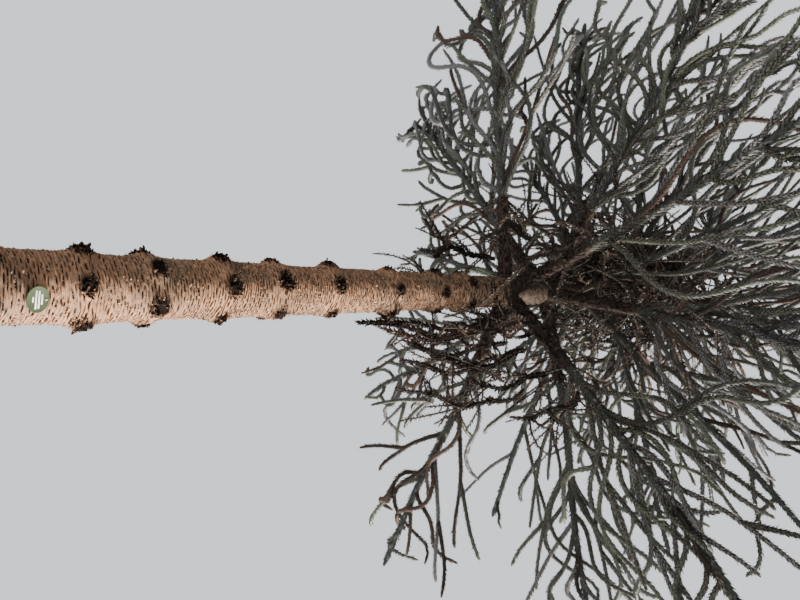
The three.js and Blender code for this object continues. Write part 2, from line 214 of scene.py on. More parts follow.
class Shader:
    """A material's node tree, in which one method adds any node."""

    coarse_relief = 0.6
    fine_relief = 0.4
    relief_depth = 0.004

    def __init__(self, name: str) -> None:
        """Starts an empty material of that name."""
        self.material = bpy.data.materials.new(name)
        self.material.use_nodes = True
        self.tree = self.material.node_tree
        self.tree.nodes.clear()

    def node(self, kind: str, settings: dict | None = None, sockets: dict | None = None) -> bpy.types.Node:
        """Adds a node.

        Args:
            kind: The node's type.
            settings: Properties to set first.
            sockets: Values or signals by the input's name or number.

        Returns:
            The node.
        """
        made = self.tree.nodes.new(kind)
        for name, value in (settings or {}).items():
            setattr(made, name, value)
        for name, value in (sockets or {}).items():
            if isinstance(value, Signal):
                self.tree.links.new(value.socket, made.inputs[name])
            else:
                made.inputs[name].default_value = value
        return made

    def signal(
        self, kind: str, settings: dict | None = None, sockets: dict | None = None, output: int | str = 0
    ) -> Signal:
        """Adds a node and gives one of its outputs."""
        return Signal(self, self.node(kind, settings, sockets).outputs[output])

    def mix(self, share: Signal | float, a: Signal | tuple, b: Signal | tuple) -> Signal:
        """A colour that lies a share of the way from a to b.

        Args:
            share: How far it is from a to b.
            a: The first colour.
            b: The second colour.

        Returns:
            The colour between them.
        """
        colours = [value if isinstance(value, Signal) else (*value, 1.0) for value in (a, b)]
        sockets = {0: share, 6: colours[0], 7: colours[1]}
        return self.signal("ShaderNodeMix", {"data_type": "RGBA"}, sockets, 2)

    def place(self) -> Signal:
        """The point on the surface, in the tree's own frame."""
        return self.signal("ShaderNodeTexCoord", output="Object")

    def noise(self, cloud: Cloud) -> Signal:
        """The values of a cloud pattern, from 0 to 1."""
        mapped = self.signal("ShaderNodeMapping", sockets={"Vector": self.place(), "Scale": cloud.stretch})
        sockets = {"Vector": mapped, "Scale": cloud.scale, "Detail": cloud.detail}
        return self.signal("ShaderNodeTexNoise", sockets=sockets)

    def ramp(self, value: Signal, limits: tuple, most: float = 1.0, least: float = 0.0) -> Signal:
        """A value that rises from least to most while another one goes from limit to limit."""
        sockets = {0: value, 1: limits[0], 2: limits[1], 3: least, 4: most}
        return self.signal("ShaderNodeMapRange", sockets=sockets)

    def attribute(self, name: str) -> Signal:
        """A number that is kept on the mesh's corners."""
        return self.signal("ShaderNodeAttribute", {"attribute_name": name}, output="Fac")

    def bump(self, height: Signal, strength: float, distance: float) -> Signal:
        """A surface direction tilted by a height pattern."""
        sockets = {"Height": height, "Strength": strength, "Distance": distance}
        return self.signal("ShaderNodeBump", sockets=sockets)

    def relief(self, coarse: Signal, fine: Signal, strength: float) -> Signal:
        """The relief of bark, of a coarse and a fine pattern."""
        height = coarse * self.coarse_relief + fine * self.fine_relief
        return self.bump(height, strength, self.relief_depth)

    def finish(
        self,
        base: Signal | tuple,
        roughness: Signal | float,
        shine: float = 0.5,
        relief: Signal | None = None,
    ) -> bpy.types.Material:
        """Ends the material in its surface.

        Args:
            base: Its colour.
            roughness: Its roughness.
            shine: How strongly it mirrors; 0.5 is usual.
            relief: Its relief, where it has one.

        Returns:
            The material.
        """
        colour = base if isinstance(base, Signal) else (*base, 1.0)
        sockets = {"Base Color": colour, "Roughness": roughness, "Specular IOR Level": shine}
        if relief is not None:
            sockets["Normal"] = relief
        surface = self.signal("ShaderNodeBsdfPrincipled", sockets=sockets)
        self.node("ShaderNodeOutputMaterial", sockets={"Surface": surface})
        return self.material


# Finishes


@dataclass(frozen=True)
class BarkFinish:
    """Dry bark in cushioned rows, painted with shade in its slits and under the crown, and dark at the
    stubs.
    """

    name: str = "bark"
    pale: tuple = (0.545, 0.308, 0.186)
    warm: tuple = (0.222, 0.147, 0.106)
    grey: tuple = (0.166, 0.130, 0.098)
    # painted shade in the slits, over a little of their own darker colour; the dark specks and streaks take
    # this colour too
    slit: tuple = (0.024, 0.016, 0.013)
    stub: tuple = (0.012, 0.008, 0.007)
    # painted shade that the crown casts on the upper trunk: the bark darkens towards this colour between the
    # two heights below
    crown: tuple = (0.085, 0.071, 0.060)
    crown_shade_heights: tuple = (4.5, 6.5)
    crown_shade_share: float = 0.92
    grain: Cloud = Cloud(26.0, (1.0, 1.0, 5.0), 6.0)
    patches: Cloud = Cloud(3.2, (1.0, 1.0, 1.6))
    patch_limits: tuple = (0.45, 0.75)
    patch_share: float = 0.8
    specks: Cloud = Cloud(110.0, (1.0, 1.0, 1.4), 3.0)
    speck_limits: tuple = (0.57, 0.70)
    speck_share: float = 0.75
    streaks: Cloud = Cloud(24.0, (1.0, 1.0, 3.4), 5.0)
    streak_limits: tuple = (0.51, 0.58)
    streak_share: float = 0.93
    streak_heights: tuple = (2.9, 5.8)
    streak_least: float = 0.15
    roughness: float = 0.9
    shine: float = 0.04
    relief: float = 0.7

    def build(self) -> bpy.types.Material:
        """The material of this finish."""
        shader = Shader(self.name)
        patches = shader.noise(self.patches)
        grain = shader.noise(self.grain)
        specks = shader.noise(self.specks)
        base = shader.mix(grain * 0.5 + shader.attribute("tone") * 0.5, self.warm, self.pale)
        base = shader.mix(shader.ramp(patches, self.patch_limits, self.patch_share), base, self.grey)
        height = shader.signal("ShaderNodeSeparateXYZ", sockets={"Vector": shader.place()}, output="Z")
        # painted shade of the crown: the bark grows darker up the trunk from 4.5 m to 6.5 m
        base = shader.mix(self.crown_shade_share * shader.ramp(height, self.crown_shade_heights), base, self.crown)
        base = shader.mix(shader.ramp(specks, self.speck_limits, self.speck_share), base, self.slit)
        streak = shader.ramp(shader.noise(self.streaks), self.streak_limits, self.streak_share)
        streak = streak * shader.ramp(height, self.streak_heights, least=self.streak_least)
        base = shader.mix(streak, base, self.slit)
        # painted shade in the slits, by the slit mask kept on the bark's corners
        base = shader.mix(shader.attribute("slit"), base, self.slit)
        base = shader.mix(shader.attribute("stub"), base, self.stub)
        return shader.finish(base, self.roughness, self.shine, shader.relief(grain, specks, self.relief))


@dataclass(frozen=True)
class LimbFinish:
    """Dark bark of boughs and stubs, grey-brown with paler rubbed scales."""

    name: str
    dark: tuple
    pale: tuple
    scales: Cloud = Cloud(34.0, detail=5.0)
    scale_limits: tuple = (0.35, 0.75)
    specks: Cloud = Cloud(120.0, detail=2.0)
    roughness: float = 0.85
    shine: float = 0.2
    relief: float = 0.6

    def build(self) -> bpy.types.Material:
        """The material of this finish."""
        shader = Shader(self.name)
        scales = shader.noise(self.scales)
        relief = shader.relief(scales, shader.noise(self.specks), self.relief)
        base = shader.mix(shader.ramp(scales, self.scale_limits), self.dark, self.pale)
        return shader.finish(base, self.roughness, self.shine, relief)


@dataclass(frozen=True)
class LeafFinish:
    """Stiff leathery leaves or thin twigs of one tint, which is the same all over them."""

    name: str
    colour: tuple
    roughness: float = 0.5
    shine: float = 0.28

    def build(self) -> bpy.types.Material:
        """The material of this finish."""
        return Shader(self.name).finish(self.colour, self.roughness, self.shine)


@dataclass(frozen=True)
class EnamelFinish:
    """Dull green paint on a metal plate, a little weathered."""

    name: str = "plate_enamel"
    green: tuple = (0.045, 0.065, 0.031)
    worn: tuple = (0.062, 0.084, 0.046)
    wear: Cloud = Cloud(22.0, detail=5.0)
    wear_limits: tuple = (0.5, 0.75)
    roughness: float = 0.5
    rougher: float = 0.2
    shine: float = 0.25

    def build(self) -> bpy.types.Material:
        """The material of this finish."""
        shader = Shader(self.name)
        wear = shader.noise(self.wear)
        base = shader.mix(shader.ramp(wear, self.wear_limits), self.green, self.worn)
        return shader.finish(base, self.roughness + wear * self.rougher, self.shine)


@dataclass(frozen=True)
class PlainFinish:
    """A plain material whose colour wavers a little."""

    name: str
    colour: tuple
    second: tuple
    roughness: float
    cloud: Cloud = Cloud(90.0, detail=3.0)
    relief: float = 0.2
    relief_depth: float = 0.002

    def build(self) -> bpy.types.Material:
        """The material of this finish."""
        shader = Shader(self.name)
        cloud = shader.noise(self.cloud)
        base = shader.mix(cloud, self.colour, self.second)
        return shader.finish(base, self.roughness, relief=shader.bump(cloud, self.relief, self.relief_depth))


class Finish(Enum):
    """The finishes of wood, paint, metal and floor."""

    BARK = BarkFinish()
    LIMB = LimbFinish("limb_bark", (0.016, 0.012, 0.010), (0.050, 0.038, 0.030))
    STUB = LimbFinish("stub_bark", (0.016, 0.011, 0.009), (0.060, 0.042, 0.030))
    BROKEN = PlainFinish("broken_wood", (0.34, 0.16, 0.07), (0.10, 0.052, 0.03), 0.8)
    TWIG = LeafFinish("twig_wood", (0.045, 0.036, 0.027), 0.8)
    ENAMEL = EnamelFinish()
    PAINT = PlainFinish("plate_paint", (0.90, 0.91, 0.86), (0.80, 0.81, 0.75), 0.5)
    METAL = PlainFinish("nail_metal", (0.46, 0.47, 0.44), (0.34, 0.34, 0.31), 0.45)
    FLOOR = LeafFinish("studio_floor", (0.47, 0.47, 0.455), 0.9, 0.5)


class Tint(Enum):
    """The tints that are dealt out to the shoots, spray by spray, and to scales of bark."""

    DEEP = LeafFinish("leaf_deep", (0.058, 0.066, 0.063))
    GREEN = LeafFinish("leaf_green", (0.083, 0.096, 0.081))
    OLIVE = LeafFinish("leaf_olive", (0.108, 0.114, 0.095))
    GREY = LeafFinish("leaf_grey", (0.160, 0.164, 0.172))
    FRESH = LeafFinish("leaf_fresh", (0.120, 0.140, 0.107))
    RUST = LeafFinish("leaf_rust", (0.080, 0.052, 0.043), 0.7, 0.2)
    STRAW = LeafFinish("leaf_straw", (0.115, 0.089, 0.072), 0.75, 0.2)
    OLD = LeafFinish("leaf_old", (0.038, 0.030, 0.027), 0.8, 0.15)
    CHAR = LeafFinish("scale_dark", (0.013, 0.009, 0.008), 0.8, 0.08)
    TAN = LeafFinish("scale_tan", (0.27, 0.158, 0.098), 0.85, 0.2)
    PALE = LeafFinish("scale_pale", (0.44, 0.275, 0.175), 0.85, 0.2)


LIVE_TINTS = (Tint.DEEP, Tint.GREEN, Tint.GREEN, Tint.OLIVE, Tint.GREY, Tint.GREY, Tint.FRESH)
DEAD_TINTS = (Tint.RUST, Tint.RUST, Tint.STRAW, Tint.OLD, Tint.OLD)
# dead shoots inside the crown: their own dead browns, made near black in part with painted shade of the
# crown's inside
CAUGHT_SHADED_TINTS = (Tint.OLD, Tint.OLD, Tint.OLD, Tint.CHAR, Tint.CHAR, Tint.RUST)


class Materials:
    """The materials of the finishes and tints, each made once."""

    def __init__(self) -> None:
        """Starts with none made."""
        self.made: dict[Finish | Tint, bpy.types.Material] = {}

    def of(self, finish: Finish | Tint) -> bpy.types.Material:
        """The material of a finish or tint."""
        if finish not in self.made:
            self.made[finish] = finish.value.build()
        return self.made[finish]


MATERIALS = Materials()


def dealt(family: tuple, count: int, numbers: np.random.Generator) -> list[Tint]:
    """Deals out a family of tints at random."""
    return [family[k] for k in numbers.integers(0, len(family), count)]


# Meshes


def deselect() -> None:
    """Leaves no object selected."""
    bpy.ops.object.select_all(action="DESELECT")


def dress(piece: bpy.types.Object, slot: str, *nodes: str) -> bpy.types.Object:
    """Ties a piece to the tree.

    Args:
        piece: The finished piece.
        slot: Material slot of the record; not used.
        nodes: CAD nodes that it stands for.

    Returns:
        The piece.
    """
    if nodes:
        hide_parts(*nodes)
    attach(piece, BODY)
    log.info("%s: %d faces", piece.name, len(piece.data.polygons))
    return piece


def from_arrays(
    name: str, corners: Array, faces: Array, finishes: list[Finish | Tint], chosen: Array | None = None
) -> bpy.types.Object:
    """Makes one object from arrays of corners and faces of equal side counts.

    Args:
        name: The object's name.
        corners: Points, one row each.
        faces: Corner numbers, one row for each face.
        finishes: Finishes or tints of the object.
        chosen: Number of the finish of each face, where there are several.

    Returns:
        The object, in the scene.
    """
    sides = faces.shape[1]
    mesh = bpy.data.meshes.new(name)
    mesh.vertices.add(len(corners))
    mesh.vertices.foreach_set("co", corners.astype(np.float32).ravel())
    mesh.loops.add(faces.size)
    mesh.loops.foreach_set("vertex_index", faces.astype(np.int32).ravel())
    mesh.polygons.add(len(faces))
    mesh.polygons.foreach_set("loop_start", np.arange(0, faces.size, sides, dtype=np.int32))
    for finish in finishes:
        mesh.materials.append(MATERIALS.of(finish))
    if chosen is not None:
        mesh.polygons.foreach_set("material_index", chosen.astype(np.int32))
    mesh.update(calc_edges=True)
    mesh.validate()
    made = bpy.data.objects.new(name, mesh)
    bpy.context.scene.collection.objects.link(made)
    return made


def rolled_sheet(name: str, columns: int, rings: int, surface: Surface, finish: Finish) -> bpy.types.Object:
    """Rolls a flat grid round a limb, closes its seam and fills its two ends.

    Args:
        name: The object's name.
        columns: Faces round the limb.
        rings: Faces along it.
        surface: Corners, and the numbers kept on them by name, from the angle round the limb in
            radians and the number of the ring.
        finish: The limb's finish.

    Returns:
        The closed tube.
    """
    deselect()
    bpy.ops.mesh.primitive_grid_add(x_subdivisions=columns, y_subdivisions=rings, size=2.0)
    made = bpy.context.object
    made.name = name
    mesh = made.data
    mesh.name = name
    flat = np.empty(3 * len(mesh.vertices))
    mesh.vertices.foreach_get("co", flat)
    across, along = flat[0::3], flat[1::3]
    column = np.rint((across + 1) / 2 * columns)
    corners, kept = surface(2 * math.pi * (column % columns) / columns, np.rint((along + 1) / 2 * rings))
    mesh.vertices.foreach_set("co", corners.ravel())
    for key, values in kept.items():
        mesh.attributes.new(key, "FLOAT", "POINT").data.foreach_set("value", values.astype(np.float32))
    mesh.update()
    bpy.ops.object.mode_set(mode="EDIT")
    bpy.ops.mesh.select_all(action="SELECT")
    bpy.ops.mesh.remove_doubles(threshold=SEAM_GAP)
    bpy.ops.mesh.fill_holes(sides=0)
    bpy.ops.mesh.select_all(action="SELECT")
    bpy.ops.mesh.normals_make_consistent(inside=False)
    bpy.ops.object.mode_set(mode="OBJECT")
    bpy.ops.object.shade_smooth_by_angle(angle=SMOOTH_ANGLE)
    mesh.materials.append(MATERIALS.of(finish))
    return made


def select_faces(piece: bpy.types.Object, wanted: Callable[[bpy.types.MeshPolygon], bool]) -> None:
    """Selects just the faces of a piece that a test picks.

    Args:
        piece: The piece.
        wanted: The test, of one face.
    """
    mesh = piece.data
    mesh.vertices.foreach_set("select", np.zeros(len(mesh.vertices), dtype=bool))
    mesh.edges.foreach_set("select", np.zeros(len(mesh.edges), dtype=bool))
    mesh.polygons.foreach_set("select", [bool(wanted(face)) for face in mesh.polygons])


def bevelled(piece: bpy.types.Object, width: float) -> None:
    """Rounds the sharp edges of a piece.

    Args:
        piece: The piece.
        width: Width of the rounding.
    """
    bevel = piece.modifiers.new("rounded", "BEVEL")
    bevel.width = width
    bevel.segments = BEVEL_STEPS
    bevel.limit_method = "ANGLE"
    deselect()
    piece.select_set(True)
    bpy.context.view_layer.objects.active = piece
    bpy.ops.object.modifier_apply(modifier=bevel.name)
    bpy.ops.object.shade_smooth_by_angle(angle=BEVEL_SMOOTH_ANGLE)


def joined_pieces(name: str, pieces: list[bpy.types.Object]) -> bpy.types.Object:
    """Joins objects into one of that name.

    Args:
        name: The new name.
        pieces: The objects.

    Returns:
        The one object.
    """
    deselect()
    for piece in pieces:
        piece.select_set(True)
    bpy.context.view_layer.objects.active = pieces[0]
    bpy.ops.object.join()
    pieces[0].name = name
    pieces[0].data.name = name
    return pieces[0]


def joined(parts: list[tuple[Array, Array]]) -> tuple[Array, Array]:
    """Corners and faces of several meshes as those of one."""
    counts = np.cumsum([0] + [len(corners) for corners, _ in parts[:-1]])
    faces = [faces + shift for shift, (_, faces) in zip(counts, parts)]
    return np.concatenate([corners for corners, _ in parts]), np.concatenate(faces)


def tube_faces(rings: int, sides: int) -> Array:
    """Triangles of a tube's wall, whose corners are numbered ring by ring.

    Args:
        rings: Rings of corners.
        sides: Corners in each ring.

    Returns:
        Corner numbers, one row for each triangle.
    """
    ring, side = np.indices((rings - 1, sides)).reshape(2, -1)
    a, b = ring * sides + side, ring * sides + (side + 1) % sides
    c, d = a + sides, b + sides
    return np.concatenate([np.stack([a, b, c], axis=1), np.stack([b, d, c], axis=1)])


def leaf_corners(
    base: Array, along: Array, wide: Array, outward: Array, length: Array, width: Array
) -> Array:
    """Corners of keeled leaves: foot, one side, tip, other side.

    Args:
        base: Foot of each leaf.
        along: Its direction.
        wide: Direction across it.
        outward: Direction in which its back faces.
        length: Its length.
        width: Half of its width.

    Returns:
        Four rows for each leaf.
    """
    belly = base + along * (LEAF_BELLY * length) - outward * (LEAF_KEEL * width)
    corners = np.stack([base, belly + wide * width, base + along * length, belly - wide * width], axis=-2)
    return corners.reshape(-1, 3)


def leaf_faces(count: int) -> Array:
    """Triangles of keeled leaves, two for each."""
    foot = 4 * np.arange(count)[:, None]
    return np.concatenate([foot + [[0, 1, 2]], foot + [[0, 2, 3]]])


def tinted(name: str, corners: Array, faces: Array, tints: list[Tint]) -> bpy.types.Object:
    """Makes one object of many tints.

    Args:
        name: The object's name.
        corners: Points, one row each.
        faces: Corner numbers of triangles.
        tints: Tint of each triangle.

    Returns:
        The object, in the scene.
    """
    used = [tint for tint in Tint if tint in set(tints)]
    chosen = np.array([used.index(tint) for tint in tints])
    return from_arrays(name, corners, faces, used, chosen)


# The trunk


@dataclass(frozen=True)
class Bole:
    """The trunk: its taper, flare and wander, as the solid has them."""

    top: float = 12.5
    foot_radius: float = 0.198
    taper: float = 0.0112
    taper_growth: float = 0.00013
    flare_width: float = 0.095
    flare_height: float = 0.28
    lobes: int = 5
    lobe_depth: float = 0.13
    wander: float = 0.014

    def radius(self, height: Array, azimuth: Array) -> Array:
        """Radius of the plain trunk at a height and azimuth.

        Args:
            height: Height on the trunk.
            azimuth: Azimuth, in degrees.

        Returns:
            The distance from the trunk's middle.
        """
        flare = np.exp(-height / self.flare_height)
        plain = self.foot_radius - self.taper * height - self.taper_growth * height**2
        lobe = 1 + self.lobe_depth * flare * np.cos(np.radians(self.lobes * azimuth))
        return (plain + self.flare_width * flare) * lobe

    def middle(self, height: Array) -> Array:
        """The trunk's middle at a height."""
        height = np.asarray(height, dtype=float)
        turn = 2 * math.pi * height / self.top
        return np.stack([self.wander * np.sin(turn), self.wander * (1 - np.cos(turn)), height], axis=-1)

    def skin(self, height: Array, azimuth: Array, out: Array = 0.0) -> Array:
        """Points on the plain trunk at a height and azimuth, or a distance out from it."""
        reach = self.radius(np.asarray(height, dtype=float), azimuth) + out
        return self.middle(height) + polar(reach, azimuth, 0.0)


@dataclass(frozen=True)
class Knot:
    """One stub of a shed bough: its height and azimuth on the trunk, and the swelling under it."""

    height: float
    azimuth: float
    size: float
    half_width: float = 0.070
    half_height: float = 0.052
    rise: float = 0.024
    ring_rise: float = 0.0022
    ring_height: float = 0.06
    darkness: float = 1.9
    darkness_power: float = 1.5
    darkness_edge: float = 0.5
    row_bend: float = 0.016
    bend_width: float = 0.07
    bend_height: float = 0.06

    def nearness(self, aside: Array, above: Array) -> Array:
        """How near a place on the bark is to the middle of the knot, from 0 to 1."""
        return np.exp(-((aside / self.half_width) ** 2 + (above / self.half_height) ** 2) / self.size**2)

    def swelling(self, near: Array, above: Array) -> Array:
        """How far the bark stands out, at a nearness and a height above the knot."""
        return self.rise * self.size * near + self.ring_rise * np.exp(-((above / self.ring_height) ** 2))

    def dark(self, near: Array) -> Array:
        """How dark the bark is at a nearness, from 0 to 1."""
        return np.clip(self.darkness * near**self.darkness_power - self.darkness_edge, 0, 1)

    def bend(self, aside: Array, above: Array) -> Array:
        """How far the rows of bark give way to the knot, upwards over it and downwards under it."""
        fading = np.exp(-((aside / self.bend_width) ** 2) - np.abs(above) / self.bend_height)
        return self.row_bend * np.sign(above) * fading


@dataclass(frozen=True)
class KnotWhorls:
    """Whorls of stubs that shed boughs left on the bare trunk: height, and azimuth of the first."""

    whorls: tuple = (
        (2.27, -60.0),
        (2.67, -90.0),
        (3.02, -127.0),
        (3.425, -92.0),
        (3.795, -110.0),
        (4.23, -100.0),
        (4.79, -90.0),
        (5.285, -90.0),
        (5.655, -50.0),
    )
    knots_per_whorl: int = 5
    azimuth_stray: float = 4.0
    level_stray: float = 0.012
    sizes: tuple = (0.8, 1.15)
    seed: int = 31

    def knots(self) -> list[Knot]:
        """Every stub of the trunk."""
        numbers = np.random.default_rng(self.seed)
        found = []
        for height, first in self.whorls:
            for k in range(self.knots_per_whorl):
                azimuth = first + 360 * k / self.knots_per_whorl + stray(numbers, self.azimuth_stray)
                level = height + stray(numbers, self.level_stray)
                found.append(Knot(level, azimuth, numbers.uniform(*self.sizes)))
        return found


@dataclass(frozen=True)
class Slits:
    """The slits between old leaf bases, painted with shade, whose strength, width and tone differ from base
    to base.
    """

    rows: int
    cells: int = 18
    depth: float = 0.0070
    step_shares: tuple = (1.0, 1.0, 0.0, 0.0)
    contrast: float = 2.7
    weakest: float = 0.35
    widths: tuple = (0.62, 1.0)
    low_width: float = 0.95
    high_width: float = 0.6
    narrows_from: float = 3.9
    narrows_over: float = 1.6
    edge: float = 3.2
    row_stray: float = 0.14
    row_shift: float = 0.02
    seed: int = 17

    def at(self, turn: Array, row: Array, step: Array, height: Array) -> tuple[Array, Array]:
        """The slits at some corners of the bark.

        Args:
            turn: Angle round the trunk, in radians.
            row: Row of each corner.
            step: Number of its ring in the row.
            height: Its plain height.

        Returns:
            How deep the slit is, from 0 to 1, which is also how much shade is painted in it, and the tone of
            the leaf base, from 0 to 1.
        """
        numbers = np.random.default_rng(self.seed)
        strength = numbers.random((self.rows, self.cells))
        tones = numbers.random((self.rows, self.cells))
        widths = numbers.uniform(*self.widths, (self.rows, self.cells))
        order = np.arange(self.rows)
        shift = 0.5 * (order % 2) + stray(numbers, self.row_stray, self.rows) + self.row_shift * order
        upper = np.clip((height - self.narrows_from) / self.narrows_over, 0, 1)
        place = turn / (2 * math.pi) * self.cells + shift[row]
        cell = np.floor(place).astype(int) % self.cells
        strong = np.clip(strength[row, cell] * self.contrast - self.weakest, 0, 1)
        middle = np.abs((place % 1) - 0.5) * 2
        width = widths[row, cell] * blend(self.low_width, self.high_width, upper)
        shape = np.clip((width - middle) * self.edge, 0, 1)
        return strong * shape * np.array(self.step_shares)[step], tones[row, cell]


@dataclass(frozen=True)
class Bark:
    """Sheets of bark round the trunk, whose rings follow its rows of old leaf bases."""

    bole: Bole
    knots: list[Knot]
    row_pitch: float = 0.0172
    row_steps: tuple = (0.0, 0.20, 0.36, 0.84)
    row_swell: tuple = (0.0, 0.0, 0.0052, 0.0016)
    least_swell: float = 0.35
    tone_swell: float = 0.9
    columns: int = 108
    band_rows: tuple = (0, 186, 366)
    knot_span: float = 0.22
    still_foot: float = 0.06
    row_waves: tuple = (Waves(0.0026, 5, (2, 9), 0.05), Waves(0.007, 6, (1, 3), 0.9))
    lumps: tuple = (Waves(0.0018, 8, (5, 19), 0.035), Waves(0.003, 9, (1, 4), 0.6))
    stub_roughness: Waves = Waves(0.012, 11, (24, 53), 0.012)
    crown_columns: int = 48
    crown_step: float = 0.04
    crown_slits: Waves = Waves(1.0, 13, (6, 15), 0.05)
    crown_slit_share: float = 0.8
    crown_slit_depth: float = 0.004
    crown_lumps: Waves = Waves(0.003, 14, (3, 9), 0.08)
    crown_tones: Waves = Waves(0.4, 15, (2, 12), 0.04)

    def knot_shape(self, turn: Array, height: Array) -> tuple[Array, Array, Array]:
        """Rise of the bark at the stubs, how dark it is there, and how its rows bend round them.

        Args:
            turn: Angle round the trunk, in radians.
            height: Plain height of each corner.

        Returns:
            The rise, the darkness from 0 to 1, and the shift upwards.
        """
        rise, dark, bend = (np.zeros(turn.shape) for _ in range(3))
        for knot in self.knots:
            near = np.abs(height - knot.height) < self.knot_span
            if not near.any():
                continue
            radius = self.bole.radius(knot.height, knot.azimuth)
            swing = (turn[near] - math.radians(knot.azimuth) + math.pi) % (2 * math.pi) - math.pi
            above = height[near] - knot.height
            aside = swing * radius
            close = knot.nearness(aside, above)
            rise[near] += knot.swelling(close, above)
            dark[near] = np.maximum(dark[near], knot.dark(close))
            bend[near] += knot.bend(aside, above)
        return rise, dark, bend

    def band(self, number: int) -> bpy.types.Object:
        """One sheet of bark, between two of the band rows.

        Args:
            number: Which one, from 0 for the lowest.

        Returns:
            The sheet.
        """
        steps = np.array(self.row_steps)
        first, last = (row * len(steps) for row in self.band_rows[number : number + 2])
        slits = Slits(self.band_rows[-1] + 2)

        def surface(turn: Array, ring: Array) -> tuple[Array, dict[str, Array]]:
            """Corners of the bark, and what its finish reads."""
            whole = (ring + first).astype(int)
            row, step = whole // len(steps), whole % len(steps)
            plain = (row + steps[step]) * self.row_pitch
            rise, dark, bend = self.knot_shape(turn, plain)
            wave = sum(waves.at(turn, plain) for waves in self.row_waves)
            height = plain + np.clip(plain / self.still_foot, 0, 1) * (wave + bend)
            slit, tone = slits.at(turn, row, step, plain)
            slit = slit * (1 - dark)
            swell = np.array(self.row_swell)[step] * (self.least_swell + self.tone_swell * tone)
            lump = sum(waves.at(turn, plain) for waves in self.lumps)
            rough = self.stub_roughness.at(turn, plain, dark)
            azimuth = np.degrees(turn)
            reach = self.bole.radius(plain, azimuth) + (rise + swell + lump + rough - slits.depth * slit)
            # the slit mask sets both the slit's depth and how much shade is painted in it
            kept = {"slit": slit, "stub": dark, "tone": tone}
            return self.bole.middle(height) + polar(reach, azimuth, 0.0), kept

        return rolled_sheet(f"bark_{number + 1}", self.columns, last - first, surface, Finish.BARK)

    def crown_band(self) -> bpy.types.Object:
        """The bark of the trunk inside the crown, up to the foot of the leading shoot."""
        bottom = self.band_rows[-1] * self.row_pitch
        rings = nearest((self.bole.top - bottom) / self.crown_step)

        def surface(turn: Array, ring: Array) -> tuple[Array, dict[str, Array]]:
            """Corners of the bark, and what its finish reads."""
            height = blend(bottom, self.bole.top, ring / rings)
            slit = np.clip(self.crown_slits.at(turn, height), 0, 1) * self.crown_slit_share
            lump = self.crown_lumps.at(turn, height) - self.crown_slit_depth * slit
            tone = 0.5 + self.crown_tones.at(turn, height)
            # the slits of the bark in the crown take painted shade too
            kept = {"slit": slit, "stub": 0 * slit, "tone": tone}
            return self.bole.skin(height, np.degrees(turn), lump), kept

        return rolled_sheet("bark_in_crown", self.crown_columns, rings, surface, Finish.BARK)

    def build(self) -> None:
        """Makes every sheet of bark."""
        for number in range(len(self.band_rows) - 1):
            dress(self.band(number), "bark", "trunk")
        dress(self.crown_band(), "bark", "trunk")


